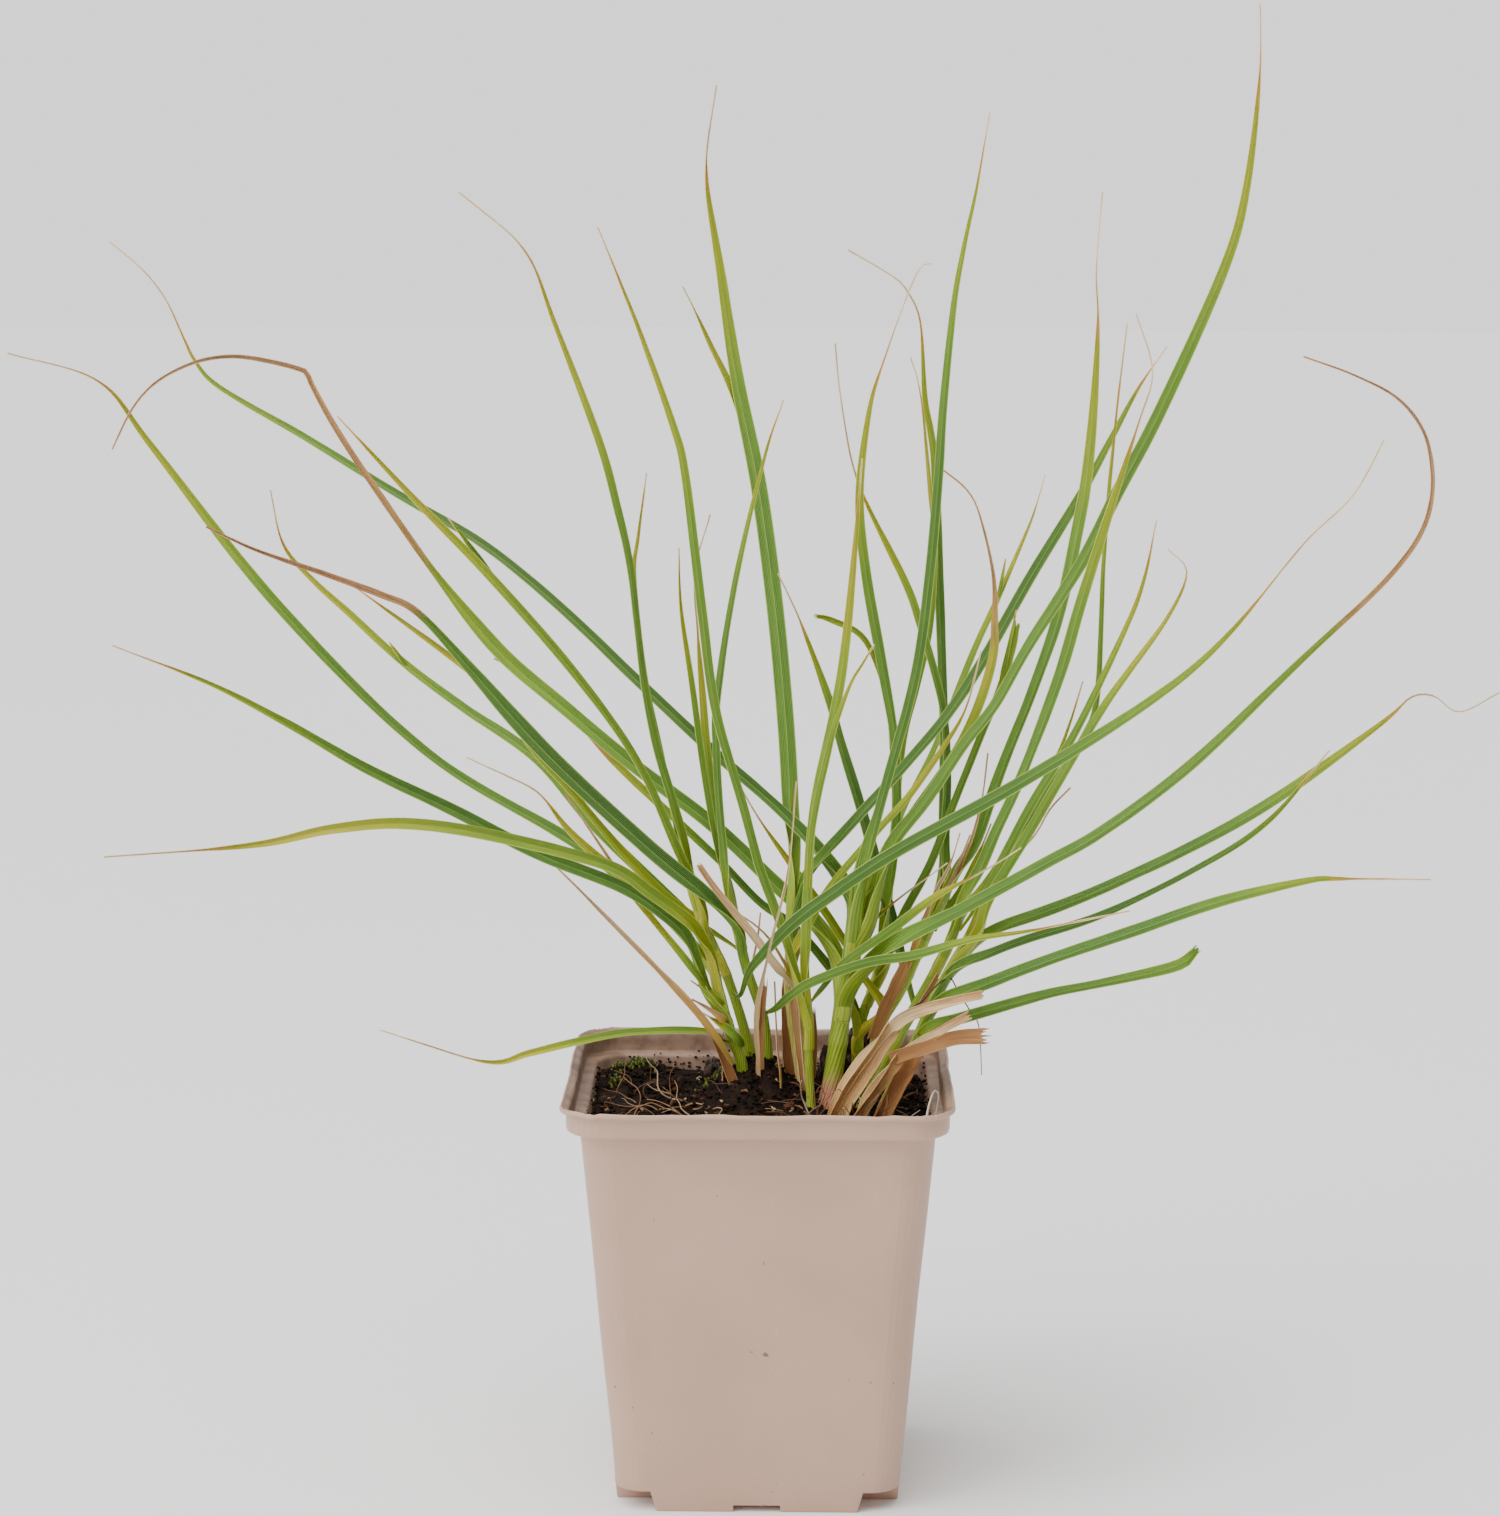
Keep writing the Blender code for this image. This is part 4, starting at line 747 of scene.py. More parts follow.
def all_stood(table):
    """The table with its routes stood up."""
    return [(*entry[:-1], stood(entry[-1])) for entry in table]


# Drying that starts before this share of the length fades in slowly, and from NEVER_DRY on there is none.
LONG_DRY = 0.56
NEVER_DRY = 0.99
# A leaf's base: how far below its first point it begins and bends, the length that clasps the stem, its
# roll and curl there, the share of the stem's girth that it wraps, and the gap it leaves round the stem.
CLASP_DROPS = (12, 7)
CLASP_LENGTH = 10.5
CLASP_ROLL = 88
CLASP_CURL = 272
CLASP_SHARE = 0.76
CLASP_GAP = 0.28
# A stem's rolled sheath: how far it laps over itself, as a share and in degrees, and how its edge winds.
STEM_LAP = 1.12
STEM_CURL = 403
STEM_WIND = (60, 260)


def eased(value, low, high):
    """0 below low, 1 above high, smooth between."""
    t = min(1.0, max(0.0, (value - low) / (high - low)))
    return t * t * (3 - 2 * t)


def blade_width(s, width, dry_start, rust):
    """Width at a share of the length.

    A rusty leaf slims where it starts to rust, a long dry one slims slowly, and any other tapers and ends in
    a dried thread.
    """
    rise = width * (0.5 + 0.5 * eased(s, 0.0, 0.2))
    if rust > 0.5:
        slim = 1 - 0.58 * eased(s, dry_start - (0.15 if rust < 0.65 else 0.3), dry_start - 0.055)
        return max(0.5, rise * slim * (1 - 0.7 * max(0.0, (s - 0.5) / 0.5) ** 3))
    if rust > 0.2 or dry_start < LONG_DRY:
        slim = 1 - 0.5 * eased(s, max(0.3, dry_start - 0.1), max(0.45, dry_start + 0.12))
        return max(0.5, rise * slim * (1 if s < 0.5 else 1 - ((s - 0.5) / 0.5) ** 1.7 * 0.8))
    end = min(dry_start, 0.97)
    taper = 1 - 0.76 * max(0.0, min(1.0, (s - 0.4) / (end - 0.4))) ** 2.6
    thread = 0.5 - 0.12 * eased(s, end, 1.0)
    return max(thread, rise * taper * (1 - eased(s, end - 0.01, end + 0.035)))


def dryness(s, dry_start, rust):
    """How dry a leaf is at a share of its length: not at all, at a short tip, or in a long slow fade."""
    if dry_start > NEVER_DRY:
        return 0.0
    if dry_start > LONG_DRY and rust < 0.3:
        return 0.5 * eased(s, dry_start - 0.07, dry_start) + 0.34 * eased(s, dry_start, dry_start + 0.05)
    fade = (s - dry_start + 0.08) / (1.08 - dry_start)
    return min(1.0, 0.2 + 0.78 * fade ** 0.7) if fade > 0 else 0.0


def length_of(route):
    """The length of a route's straight steps."""
    return sum((Vector(q) - Vector(p)).length for p, q in zip(route, route[1:]))


def stem_axis(stem, z):
    """The stem's middle at a height."""
    route = STEM_ROUTES[stem]
    best = min(range(201), key=lambda i: abs(along(route, i / 200).z - z))
    return along(route, best / 200)


def make_stem(node, base, top, tone, dry, red, route):
    """A rolled sheath whose free edge winds up the stem, with a swollen foot."""
    first, second = Vector(route[0]), Vector(route[1])
    route = [tuple(first + (first - second).normalized() * 4)] + route
    reach = length_of(route)
    knots = [random.Random(node).uniform(0.35, 0.6), random.Random(node + "b").uniform(0.68, 0.85)]

    def section(s):
        swell = 0.18 * math.exp(-((s * reach - 8) / 5) ** 2) + sum(
            0.1 * math.exp(-((s - k) * reach / 1.1) ** 2) for k in knots)
        radius = (base + (top - base) * s) * (0.94 + swell) * (1 if s < 0.93 else 1 - (s - 0.93) * 3.5)
        return 2 * math.pi * radius * STEM_LAP, STEM_CURL, 0.0, STEM_WIND[0] + STEM_WIND[1] * s

    def tones(s, u):
        foot = 1 - eased(s * reach, 4, 17 + 12 * red)
        return (tone + 0.25 * (1 - s) + (0.18 if u > 0.75 else 0),
                dry * (0.55 + 0.7 * abs(s - 0.5)) + 0.12 * u * dry,
                foot * red + (0.35 if u > 0.86 and red > 0.3 else 0))

    piece = lay_strip("grass_" + node, route, section, tones, spacing=1.2, columns=26, wall=0.2,
                      smoothing=2, centred=lambda s: 1.0)
    return dress(piece, STEM, "green_stem" if dry < 0.5 else "dry_leaf", node)


def leaf_maker(name, width, roll, tone, dry_start, rust, route, stem=None, blunt=False, ripple=0.16,
               loose=False):
    """A leaf: its base clasps the stem, then it opens, twists a little, narrows and rolls up at its tip.

    A blunt leaf is cut off at its full width, and a loose one leaves its stem without clasping it.
    """
    chance = random.Random(name)
    lean = 1 if route[-1][0] < route[0][0] else -1
    clasp = 0.0
    start_roll = roll
    if loose:
        route = [tuple(stem_axis(stem, route[0][2] - 1.5))] + route
        stem = None
    if stem:
        base_z = min(route[0][2], STEM_ROUTES[stem][-1][2] + 1)
        route = [tuple(stem_axis(stem, base_z - drop)) for drop in CLASP_DROPS] + route
        start_roll = CLASP_ROLL
        clasp = CLASP_LENGTH / length_of(route)
    twist, phase, turns = chance.uniform(8, 24), chance.uniform(0, TURN), chance.uniform(0.6, 1.5)
    open_curl = chance.uniform(38, 78)
    keel = chance.uniform(0.05, 0.2)
    hug = 2 * math.pi * (STEM_RADII[stem] + CLASP_GAP) if stem else 0

    def section(s):
        settle = eased(s, clasp * 0.6, clasp + 0.14) if stem else 1.0
        swing = twist * math.sin(phase + s * TURN * turns) * eased(s, clasp, clasp + 0.3)
        angle = (start_roll + (roll + swing - start_roll) * settle) * lean
        broad = width * 0.95 if blunt and s > 0.5 else blade_width(s, width, dry_start, rust)
        if loose:
            broad *= 0.45 + 0.55 * eased(s, 0.0, 0.12)
        curl = open_curl + 130 * eased(s, max(0.5, dry_start - 0.05), 1.0)
        if stem:
            broad = hug * CLASP_SHARE * (1 - settle) + broad * settle
            curl = CLASP_CURL * (1 - settle) + curl * settle
        return broad, curl, keel * settle * (1 - 0.7 * eased(s, 0.8, 1.0)), angle

    def tones(s, u):
        spots = rust * 0.1 * eased(waver(s * 7, u * 0.5, phase), 0.0, 0.5)
        pale = 0.3 * (1 - eased(s, clasp, clasp + 0.16))
        yellowing = (0.15 if blunt else 0.5 if rust < 0.5 else 0.3) * eased(s, dry_start - 0.4, dry_start)
        return tone + pale + yellowing, dryness(s, dry_start, rust) + spots, rust

    def centred(s):
        return 1 - eased(s, clasp * 0.6, clasp + 0.1) if stem else 0.0

    return lay_strip(name, route, section, tones, spacing=1.8, columns=10, wall=0.16, centred=centred,
                     ripple=ripple, ragged=1.2 if blunt else 0.0)


def dead_sheath(number, low, high, curl, roll, tone, route):
    """A torn, papery half-tube left at the foot of the clump."""
    def section(s):
        ragged = 1 + 0.16 * waver(s * 6, number, 0)
        wavering = roll + 14 * math.sin(s * 4 + number)
        return (low + (high - low) * s) * ragged, curl * (1 - 0.35 * s), 0.05, wavering

    def tones(s, u):
        return tone, 1.0, 0.35 * (1 - tone) * (1 - s)

    return lay_strip(f"sheath_{number}", route, section, tones, spacing=1.0, columns=12, wall=0.14,
                     smoothing=2, ripple=0.5, ragged=2.2)


STEMS = all_stood(STEMS)
STEM_ROUTES = {}
STEM_RADII = {}
for node, _, top, _, _, _, route in STEMS:
    stem = "sheath" if node == "sheath_centre" else node.replace("stem_", "")
    STEM_ROUTES[stem] = route
    STEM_RADII[stem] = top
LOOSE = ("left_blade_7", "left_blade_10", "right_blade_9", "right_blade_11", "right_blade_12",
         "right_blade_13")
BLUNT = ("upper_blade_7", "right_blade_17", "right_blade_19", "dry_blade_1", "dry_blade_2", "dry_blade_3")


def grow_plant():
    """Stems, leaves, dead leaves, wisps and sheaths."""
    for stem in STEMS:
        make_stem(*stem)
    for family, blades in BLADES.items():
        for number, (stem, *look, route) in enumerate(all_stood(blades), 1):
            node = f"{family}_blade_{number}"
            leaf = leaf_maker("grass_" + node, *look, route, stem, node in BLUNT, loose=node in LOOSE)
            dress(leaf, LEAF, "green_leaf", node)
    for number, (width, roll, route) in enumerate(all_stood(DEAD_LEAVES), 1):
        node = f"dry_blade_{number}"
        leaf = leaf_maker("grass_" + node, width, roll, 0.6, -0.9, 0.0, route, ripple=0.4,
                          blunt=node in BLUNT)
        dress(leaf, LEAF, "dry_leaf", node)
    groups = {"dry": [], "green": []}
    for number, (group, width, roll, tone, dry_start, route) in enumerate(all_stood(WISPS), 1):
        rust = 0.0 if dry_start > LONG_DRY else 0.3
        wisp = leaf_maker(f"wisp_{number}", width, roll, tone, dry_start, rust, route, ripple=0.2)
        groups[group].append(wisp)
    sheaths = [dead_sheath(number, *sheath) for number, sheath in enumerate(all_stood(SHEATHS), 1)]
    dress(joined("dead_sheaths", sheaths), STEM, "dry_leaf")
    for group, wisps in groups.items():
        dress(joined(f"{group}_wisps", wisps), LEAF, "green_leaf" if group == "green" else "dry_leaf")


def joined(name, parts):
    """Several finished meshes as one piece."""
    only(parts[0])
    for part in parts:
        part.select_set(True)
    bpy.ops.object.join()
    parts[0].name = name
    parts[0].data.name = name
    return parts[0]


# ---------------------------------------------------------------- pot

def ring_up(width, from_width, z, from_z):
    """Extrudes the selected face straight up and resizes it."""
    bpy.ops.mesh.extrude_region_move(TRANSFORM_OT_translate={"value": (0, 0, (z - from_z) * MM)})
    bpy.ops.transform.resize(value=(width / from_width, width / from_width, 1))


def cutter(name, size, middle):
    """A box to be subtracted, as half sizes and middle in millimetres."""
    box = added(name, bpy.ops.mesh.primitive_cube_add, size=2, location=[c * MM for c in middle],
                scale=[c * MM for c in size])
    bpy.ops.object.transform_apply(location=True, rotation=False, scale=True)
    return box


def subtract(piece, tool):
    """Takes a tool's shape out of a piece."""
    modify(piece, "BOOLEAN", operation="DIFFERENCE", solver="EXACT", object=tool)
    bpy.data.objects.remove(tool, do_unlink=True)


# The pot's foot: its corner radius, the notches cut in its corners, the channels across it, and its drain
# holes. Middles are distances from the pot's axis.
CORNER_RADIUS = 7.3
NOTCH_MIDDLE, NOTCH_LEVEL, NOTCH_HALF = 33.8, 1.45, 3.45
CHANNEL_HALF = 5.55
DRAIN_MIDDLE, DRAIN_RADIUS = 27.6, 2
# How many levels the tapered body has, and how many cuts each side of the pot has.
BODY_LEVELS = 11
SIDE_CUTS = 17


def make_pot():
    """Thin square pot: tapered body, stepped collar, wavy trimmed lip, notched foot and drain holes."""
    pot = added("nursery_pot", bpy.ops.mesh.primitive_plane_add, size=FOOT * MM)
    bpy.ops.object.mode_set(mode="EDIT")
    bpy.ops.mesh.select_all(action="SELECT")
    bpy.ops.mesh.bevel(offset=CORNER_RADIUS * MM, offset_type="OFFSET", segments=8, affect="VERTICES")
    bpy.ops.object.mode_set(mode="OBJECT")
    for edge in pot.data.edges:
        first, second = (pot.data.vertices[v].co for v in edge.vertices)
        edge.select = (first - second).length > 20 * MM
    for face in pot.data.polygons:
        face.select = False
    bpy.ops.object.mode_set(mode="EDIT")
    bpy.context.tool_settings.mesh_select_mode = (False, True, False)
    bpy.ops.mesh.subdivide(number_cuts=SIDE_CUTS)
    bpy.context.tool_settings.mesh_select_mode = (False, False, True)
    bpy.ops.mesh.select_all(action="SELECT")
    steps = [(FOOT, 0.0), (FOOT * 1.006, 0.5)]
    for i in range(1, BODY_LEVELS + 1):
        width = FOOT + (BODY_TOP - FOOT) * i / BODY_LEVELS
        steps.append((width, 0.5 + (BODY_TOP_Z - 0.5) * i / BODY_LEVELS))
    steps += [(COLLAR - 1.5, BODY_TOP_Z + 0.25), (COLLAR - 0.5, BODY_TOP_Z + 0.6),
              (COLLAR, BODY_TOP_Z + 1.3), (COLLAR, POT_TOP - 3.2), (COLLAR + 0.1, POT_TOP - 1.55),
              (RIM - 1.5, POT_TOP - 1.4), (RIM - 0.5, POT_TOP - 1.2), (RIM, POT_TOP - 0.75),
              (RIM - 0.2, POT_TOP - 0.3), (RIM - 0.8, POT_TOP)]
    for (low_width, low), (width, high) in zip(steps, steps[1:]):
        ring_up(width, low_width, high, low)
    bpy.ops.object.mode_set(mode="OBJECT")
    for side_x, side_y in CORNERS:
        middle = (side_x * NOTCH_MIDDLE, side_y * NOTCH_MIDDLE, NOTCH_LEVEL)
        corner = cutter("corner", (10, 10, NOTCH_HALF), middle)
        for vertex in corner.data.vertices:
            lean = 1.2 if vertex.co.z > 0 else -0.8
            if abs(vertex.co.x) < 30 * MM:
                vertex.co.x += side_x * lean * MM
            if abs(vertex.co.y) < 30 * MM:
                vertex.co.y += side_y * lean * MM
        subtract(pot, corner)
    subtract(pot, cutter("channel", (50, CHANNEL_HALF, 2.6), (0, 0, -1)))
    subtract(pot, cutter("channel", (CHANNEL_HALF, 50, 2.6), (0, 0, -1)))
    modify(pot, "BEVEL", width=0.55 * MM, segments=2, limit_method="ANGLE", angle_limit=math.radians(50))
    for face in pot.data.polygons:
        face.select = face.normal.z > 0.9 and face.center.z > (POT_TOP - 0.4) * MM
    bpy.ops.object.mode_set(mode="EDIT")
    bpy.ops.mesh.delete(type="FACE")
    bpy.ops.object.mode_set(mode="OBJECT")
    outer_count = len(pot.data.vertices)
    modify(pot, "SOLIDIFY", thickness=WALL * MM, offset=-1.0, use_even_offset=True)
    # The inner wall's vertices, where the plastic finish paints shade.
    store(pot, "inside", [float(v.index >= outer_count) for v in pot.data.vertices])
    for vertex in pot.data.vertices:
        x, y, z = vertex.co / MM
        lift = eased(z, POT_TOP - 3.5, POT_TOP - 0.6)
        wave = waver(x * 0.07, y * 0.07, 3)
        wave += 0.6 * waver(x * 0.3, y * 0.3, 8)
        out = Vector((x, y, 0)).normalized() * waver(x * 0.09, y * 0.09, 15) * 0.35
        body = waver(x * 0.03, y * 0.03, z * 0.03 + 4) * 0.3 * eased(z, 3, 12)
        rough = 0.22 * waver(x * 1.3, y * 1.3, 30)
        vertex.co += Vector((out.x * lift + body * x / 45, out.y * lift + body * y / 45,
                             (wave * 0.42 + rough) * lift - 0.15 * lift)) * MM
    for side_x, side_y in CORNERS:
        place = (side_x * DRAIN_MIDDLE * MM, side_y * DRAIN_MIDDLE * MM, 5 * MM)
        drill = added("drill", bpy.ops.mesh.primitive_cylinder_add, vertices=32, radius=DRAIN_RADIUS * MM,
                      depth=20 * MM, end_fill_type="NGON", location=place)
        bpy.ops.object.transform_apply(location=True, rotation=False, scale=False)
        subtract(pot, drill)
    return dress(pot, PLASTIC, "pot_plastic", "pot", smooth=40)


# ---------------------------------------------------------------- compost

def soil_height(x, y):
    """Height of the compost's surface with its lumps."""
    z = COMPOST_LEVEL + 0.5 * math.sin(0.31 * x + 1) * math.cos(0.27 * y)
    z += sum(h * math.exp(-((x - cx) ** 2 + (y - cy) ** 2) / (2 * s * s)) for cx, cy, h, s in RISES)
    spot = Vector((x, y, 0))
    lumps = 1.1 * noise.noise(spot * 0.22) + 0.7 * abs(noise.noise(spot * 0.6 + Vector((9, 0, 0))))
    return z + 0.6 + lumps + 0.5 * noise.noise(spot * 1.4) + 0.25 * noise.noise(spot * 3.1)


def soil_half(z):
    """Half the pot's inner width at a height, with a hair's gap."""
    return (FOOT + (BODY_TOP - FOOT) * z / BODY_TOP_Z) / 2 - WALL - 0.35


def make_crust():
    """The compost's lumpy surface, from wall to wall."""
    crust = grid_strip("compost_crust", 150, 150)
    half, corner = soil_half(COMPOST_LEVEL), 8.0
    for vertex in crust.data.vertices:
        x, y = vertex.co.x * half, vertex.co.y * half
        over = Vector((max(0, abs(x) - half + corner), max(0, abs(y) - half + corner)))
        if over.length > corner:
            over = over.normalized() * corner
            x = math.copysign(half - corner + over.x, x)
            y = math.copysign(half - corner + over.y, y)
        vertex.co = Vector((x, y, soil_height(x, y))) * MM
    bpy.ops.object.mode_set(mode="EDIT")
    bpy.ops.mesh.select_all(action="SELECT")
    bpy.ops.mesh.remove_doubles(threshold=0.02 * MM)
    bpy.ops.mesh.select_all(action="DESELECT")
    bpy.context.tool_settings.mesh_select_mode = (False, True, False)
    bpy.ops.mesh.select_non_manifold(extend=False, use_wire=False, use_boundary=True,
                                     use_multi_face=False, use_non_contiguous=False, use_verts=False)
    bpy.ops.mesh.extrude_region_move(TRANSFORM_OT_translate={"value": (0, 0, -4 * MM)})
    bpy.ops.transform.resize(value=(1, 1, 0), center_override=(0, 0, 84 * MM))
    bpy.ops.mesh.edge_face_add()
    bpy.ops.mesh.select_all(action="SELECT")
    bpy.ops.mesh.normals_make_consistent(inside=False)
    bpy.context.tool_settings.mesh_select_mode = (False, False, True)
    bpy.ops.object.mode_set(mode="OBJECT")
    return dress(crust, PEAT, "compost", smooth=60)


def crumb_shape(seed):
    """One rough crumb's points and faces, about one unit across."""
    crumb = added("crumb", bpy.ops.mesh.primitive_ico_sphere_add, subdivisions=1, radius=0.5)
    shift = Vector((seed * 5.1, 0, 0))
    points = [v.co * (1 + 0.7 * noise.noise(v.co * 2.3 + shift)) for v in crumb.data.vertices]
    faces = [tuple(f.vertices) for f in crumb.data.polygons]
    bpy.data.objects.remove(crumb, do_unlink=True)
    return points, faces


def scatter(name, seed, spots):
    """Copies of rough crumbs as one mesh; each spot is a place, a size and a flatness."""
    shapes = [crumb_shape(seed + n) for n in range(4)]
    chance = random.Random(seed)
    points, faces = [], []
    for place, size, flat in spots:
        shape, sides = shapes[chance.randrange(4)]
        turn = Matrix.Rotation(chance.uniform(0, TURN), 3, "Z")
        turn = turn @ Matrix.Rotation(chance.uniform(-0.7, 0.7), 3, "X")
        first = len(points)
        for p in shape:
            points.append((place + turn @ Vector((p.x * size, p.y * size * 0.8, p.z * size * flat))) * MM)
        faces += [tuple(first + v for v in side) for side in sides]
    mesh = bpy.data.meshes.new(name)
    mesh.from_pydata(points, [], faces)
    return linked(name, mesh)


LOOSE_CRUMBS = 3400
WALL_CRUMBS = 260


def make_crumbs():
    """Loose crumbs over the compost, on the ledge and stuck to the inner wall."""
    chance = random.Random(11)
    half = soil_half(COMPOST_LEVEL) - 0.8
    spots = []
    while len(spots) < LOOSE_CRUMBS:
        x, y = chance.uniform(-half, half), chance.uniform(-half, half)
        if abs(x) > half - 4 and abs(y) > half - 4:
            continue
        size = chance.choice((0.5, 0.7, 0.9, 1.2, 1.7))
        place = Vector((x, y, soil_height(x, y) + size * 0.18))
        spots.append((place, size, chance.uniform(0.5, 0.9)))
    wall = soil_half(91)
    for _ in range(WALL_CRUMBS):
        run = chance.uniform(-36, 36)
        size = chance.uniform(0.3, 0.9)
        z = min(94.0, 89.5 + abs(chance.gauss(0, 2.2)))
        side = wall + (z - 91) * 0.08
        place = chance.choice(((run, side, z), (run, side, z), (-side, run, z), (side, run, z)))
        spots.append((Vector(place), size, 0.8))
    crumbs = scatter("compost_crumbs", 3, spots)
    return dress(crumbs, PEAT, "compost", smooth=30)


def tube(name, route, radius):
    """A thin closed fibre along a route, half as thick at its far end."""
    points, headings, _ = even_path(route, 0.9, 1)
    rows = len(points) - 1
    frames = frames_of(headings, [0] * (rows + 1))
    piece = grid_strip(name, rows, 5)
    for vertex in piece.data.vertices:
        k = round((vertex.co.y + 1) / 2 * rows)
        angle = math.pi * vertex.co.x
        reach = radius * (1 - 0.5 * k / rows)
        side, face = frames[k]
        vertex.co = (points[k] + side * reach * math.sin(angle) - face * reach * math.cos(angle)) * MM
    bpy.ops.object.mode_set(mode="EDIT")
    bpy.ops.mesh.select_all(action="SELECT")
    bpy.ops.mesh.remove_doubles(threshold=radius * 0.1 * MM)
    bpy.ops.mesh.fill_holes(sides=0)
    bpy.ops.mesh.normals_make_consistent(inside=False)
    bpy.ops.object.mode_set(mode="OBJECT")
    return piece


# Roots and fibres wander in steps of this length, and stay this near the pot's axis.
WANDER_STEP = 2.2
PEAT_EDGE = 38


def wandering(chance, place, heading, length, sag, wild=0.9, lift=0.0):
    """A route that wanders from a place, staying on or above the compost."""
    spot = Vector((*place, soil_height(*place) + lift))
    way = Vector(heading).normalized()
    route = [tuple(spot)]
    for _ in range(max(3, round(length / WANDER_STEP))):
        swerve = (chance.gauss(0, wild), chance.gauss(0, wild), chance.gauss(0, wild * 0.6) - sag)
        way = way + Vector(swerve) * 0.5
        way.normalize()
        spot = spot + way * WANDER_STEP
        spot.x = max(-PEAT_EDGE, min(PEAT_EDGE, spot.x))
        spot.y = max(-PEAT_EDGE, min(PEAT_EDGE, spot.y))
        spot.z = max(spot.z, soil_height(spot.x, spot.y) + 0.1)
        route.append(tuple(spot))
    return route


def make_fibres():
    """Rusty fibres, pale roots, dead strands at the foot of the clump, and the white root over the rim."""
    chance = random.Random(5)
    made = []

    def fibre(route, radius, tone):
        piece = tube("fibre", route, radius)
        store(piece, "tone", [tone] * len(piece.data.vertices))
        made.append(piece)

    for _ in range(70):
        x, y = chance.uniform(-36, 36), chance.uniform(-36, 36)
        heading = (chance.gauss(0, 1), chance.gauss(0, 1), 0.3)
        fibre(wandering(chance, (x, y), heading, chance.uniform(5, 14), 0.25),
              chance.uniform(0.09, 0.2), chance.uniform(0.1, 0.6))
    for _ in range(30):
        x, y = chance.uniform(14, 38), chance.uniform(-34, 30)
        heading = (chance.gauss(0, 1), chance.gauss(0, 1), 0.5)
        fibre(wandering(chance, (x, y), heading, chance.uniform(8, 18), 0.15),
              chance.uniform(0.12, 0.22), chance.uniform(0.25, 0.55))
    for _ in range(16):
        x, y = chance.uniform(-27, -8), chance.uniform(-14, 4)
        heading = (chance.gauss(0, 1), chance.gauss(0, 0.6), 0.4)
        fibre(wandering(chance, (x, y), heading, chance.uniform(8, 20), 0.12, 0.7, lift=0.5),
              chance.uniform(0.12, 0.24), chance.uniform(0.45, 0.75))
    for _ in range(18):
        x, y = chance.uniform(8, 34), chance.uniform(-18, -6)
        heading = (chance.gauss(0, 0.5), -0.4, 1)
        fibre(wandering(chance, (x, y), heading, chance.uniform(6, 12), 0.1, 0.5),
              chance.uniform(0.12, 0.3), chance.uniform(0.3, 0.9))
    fibre([(39, -25, 92), (40, -22, 96), (41.2, -20, 98.6), (42.2, -20, 97.5), (41.6, -20, 93)], 0.3, 0.9)
    hanging = [(36, -14, 112), (40, -16, 115), (42.6, -16, 118), (45, -16, 120), (46.6, -16, 120.4),
               (48, -16, 118), (51, -16, 113), (53, -16, 110), (53.6, -16, 105.6), (54, -16, 97.6)]
    fibre(stood(hanging), 0.22, 0.05)
    return dress(joined("roots_and_fibres", made), FIBRE, "compost", smooth=60)


def make_moss():
    """Little moss tufts at the back left corner and along the left side."""
    chance = random.Random(21)
    spots = []
    for cx, cy, spread, count in ((-33, 32, 3.0, 90), (-36, 20, 1.6, 50), (-9, 6, 3.0, 60)):
        for _ in range(count):
            x, y = cx + chance.gauss(0, spread), cy + chance.gauss(0, spread)
            if max(abs(x), abs(y)) < 37:
                place = Vector((x, y, soil_height(x, y) + 0.2 + chance.uniform(0, 1.6)))
                spots.append((place, chance.uniform(0.4, 0.9), 1.6))
    moss = scatter("moss_tufts", 31, spots)
    return dress(moss, MOSS, "compost", smooth=30)


# Lumps of the old crown: middle, half width and half height.
CROWN_LUMPS = [(24.5, 20, 96, 5.0, 8.0), (30, 19.5, 97.5, 4.4, 7.0), (17.5, 15, 93, 3.6, 8.5),
               (27.5, 24, 95, 4.8, 8.5), (-11, 26, 91.5, 3.0, 3.6)]


def make_crown():
    """The wet dark stump of old stems behind the clump, and a dark lump of root near it."""
    lumps = []
    for x, y, z, wide, tall in CROWN_LUMPS:
        lump = added("lump", bpy.ops.mesh.primitive_ico_sphere_add, subdivisions=5, radius=1)
        for vertex in lump.data.vertices:
            way = vertex.co.copy()
            ridges = waver(way.x * 3.2 + x, way.y * 3.2 + y, way.z * 0.9)
            fine = noise.noise(way * 7 + Vector((x, 0, 4)))
            swell = 1 + 0.42 * ridges + 0.12 * fine
            vertex.co = Vector((x + way.x * wide * swell, y + way.y * wide * 0.8 * swell,
                                z + way.z * tall * swell)) * MM
        lumps.append(lump)
    crown = joined("old_crown", lumps)
    return dress(crown, WET, "compost", smooth=60)


def paint_compost():
    """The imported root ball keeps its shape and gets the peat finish."""
    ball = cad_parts["compost"]
    ball.data.materials.clear()
    ball.data.materials.append(PEAT)


# ---------------------------------------------------------------- studio

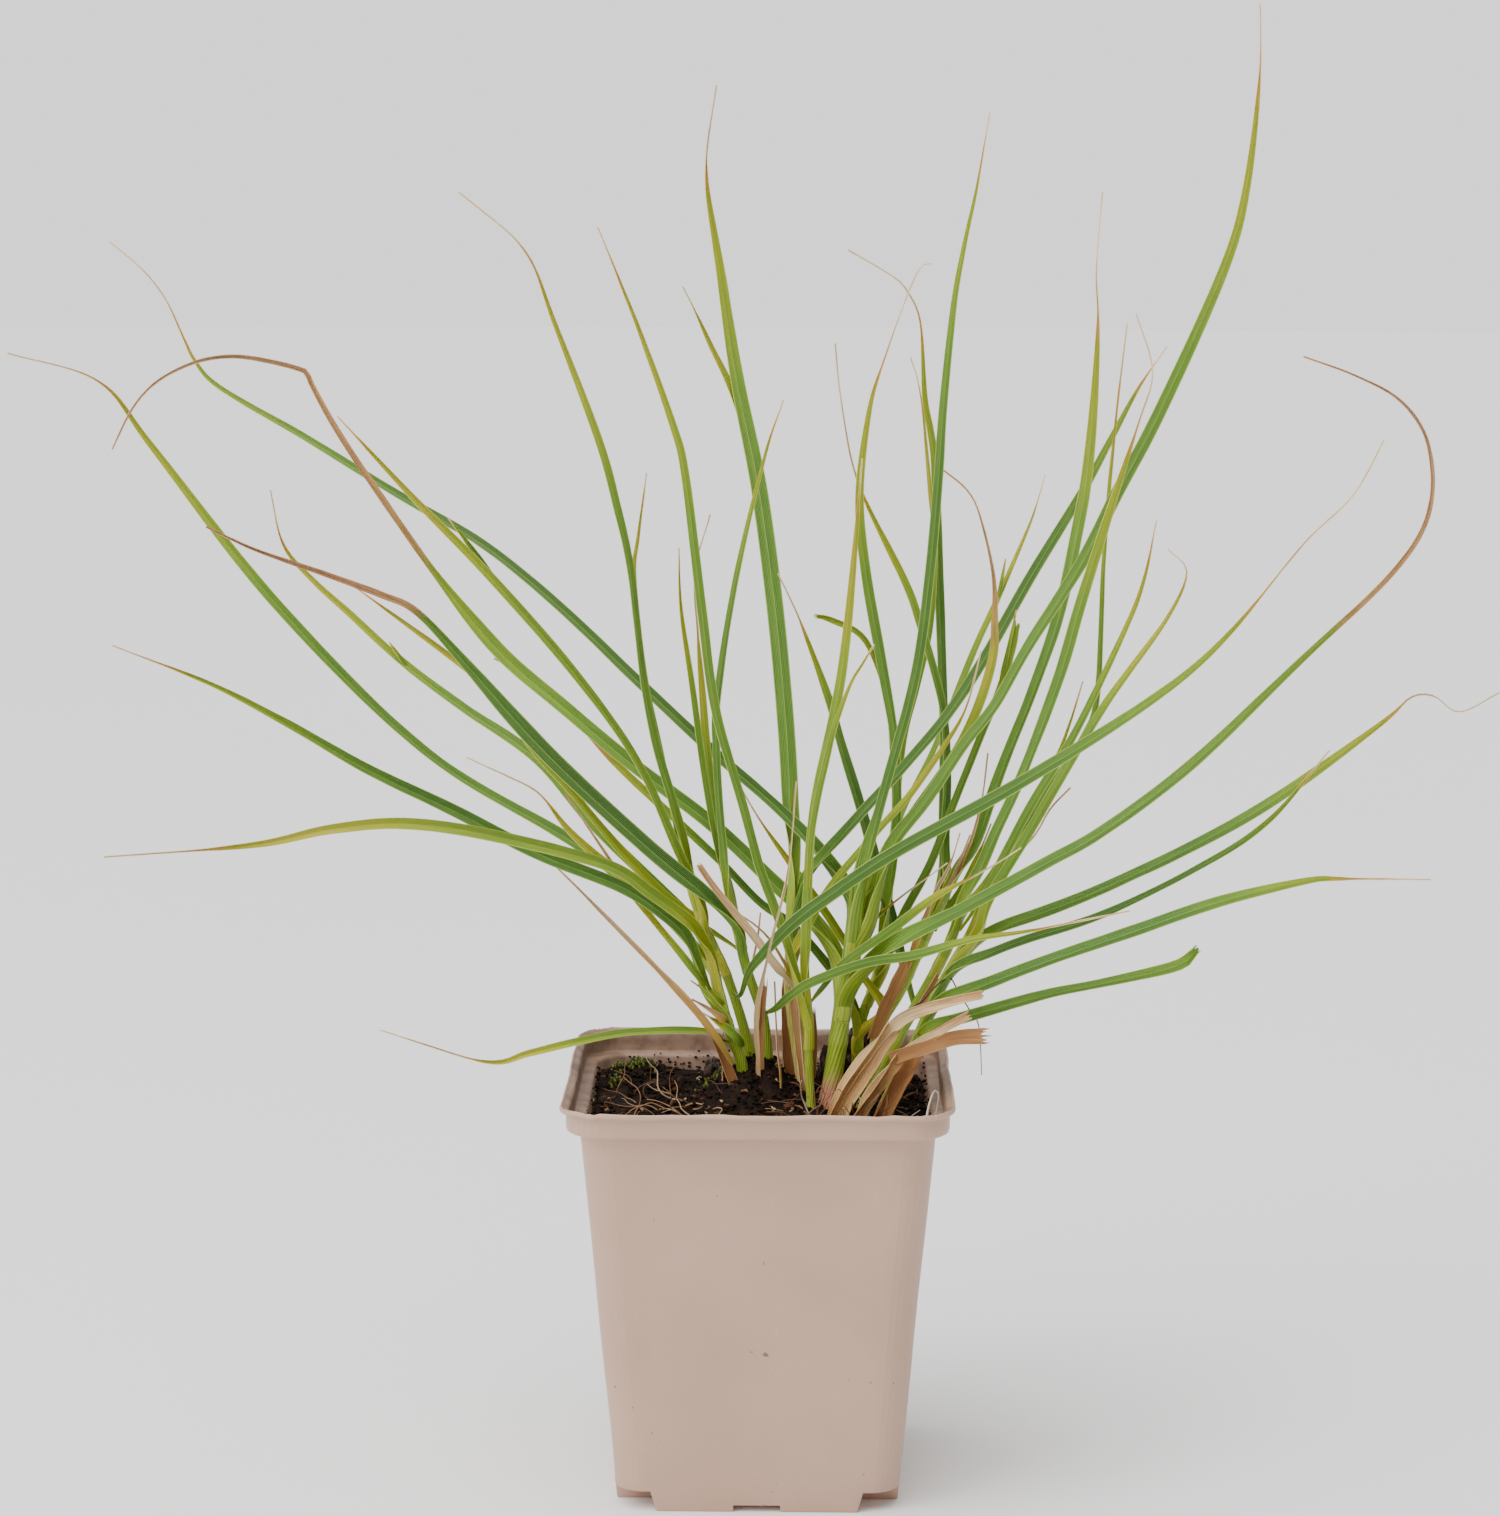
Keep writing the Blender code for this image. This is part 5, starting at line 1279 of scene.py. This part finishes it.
def soft_lights():
    """A broad sun from above and the left, and a square area light aimed at the plant."""
    sun = bpy.data.lights.new("overhead", "SUN")
    sun.angle = math.radians(70)
    sun.energy = 3.6
    overhead = linked("overhead", sun)
    overhead.rotation_euler = (math.radians(14), math.radians(-16), 0)
    lamp = bpy.data.lights.new("key", "AREA")
    lamp.shape = "SQUARE"
    lamp.size = 0.8
    lamp.energy = 7.5
    key = linked("key", lamp)
    key.location = (-0.95, -0.75, 0.7)
    aim = Vector((0.0, 0.0, 0.14)) - key.location
    key.rotation_euler = aim.to_track_quat("-Z", "Y").to_euler()


def studio_world():
    """An even pale surround that looks a little brighter than the light it gives."""
    world = bpy.data.worlds.new("studio")
    world.use_nodes = True
    nodes, links = world.node_tree.nodes, world.node_tree.links
    surround = nodes["Background"]
    surround.inputs["Color"].default_value = (0.98, 0.99, 1.0, 1)
    surround.inputs["Strength"].default_value = 0.6
    backdrop = nodes.new("ShaderNodeBackground")
    backdrop.inputs["Strength"].default_value = 1.75
    seen = nodes.new("ShaderNodeLightPath")
    mix = nodes.new("ShaderNodeMixShader")
    links.new(seen.outputs["Is Camera Ray"], mix.inputs[0])
    links.new(surround.outputs[0], mix.inputs[1])
    links.new(backdrop.outputs[0], mix.inputs[2])
    links.new(mix.outputs[0], nodes["World Output"].inputs["Surface"])
    return world


def set_studio():
    """Pale floor, soft light from above and the left, and the camera a little above the rim."""
    floor = added("studio_floor", bpy.ops.mesh.primitive_circle_add, vertices=96, radius=6,
                  fill_type="NGON")
    floor.data.materials.append(floor_finish())
    bpy.context.scene.world = studio_world()
    soft_lights()
    lens = bpy.data.cameras.new("camera")
    lens.lens = 95.0
    lens.sensor_width = 36.0
    lens.sensor_fit = "AUTO"
    lens.clip_start = 0.05
    camera = linked("camera", lens)
    camera.location = (0.0104, -0.936, 0.3189)
    camera.rotation_euler = (math.radians(90 - 8.78), math.radians(-0.17), math.radians(0.82))
    bpy.context.scene.camera = camera


make_pot()
paint_compost()
make_crust()
make_crumbs()
make_fibres()
make_moss()
make_crown()
grow_plant()
set_studio()
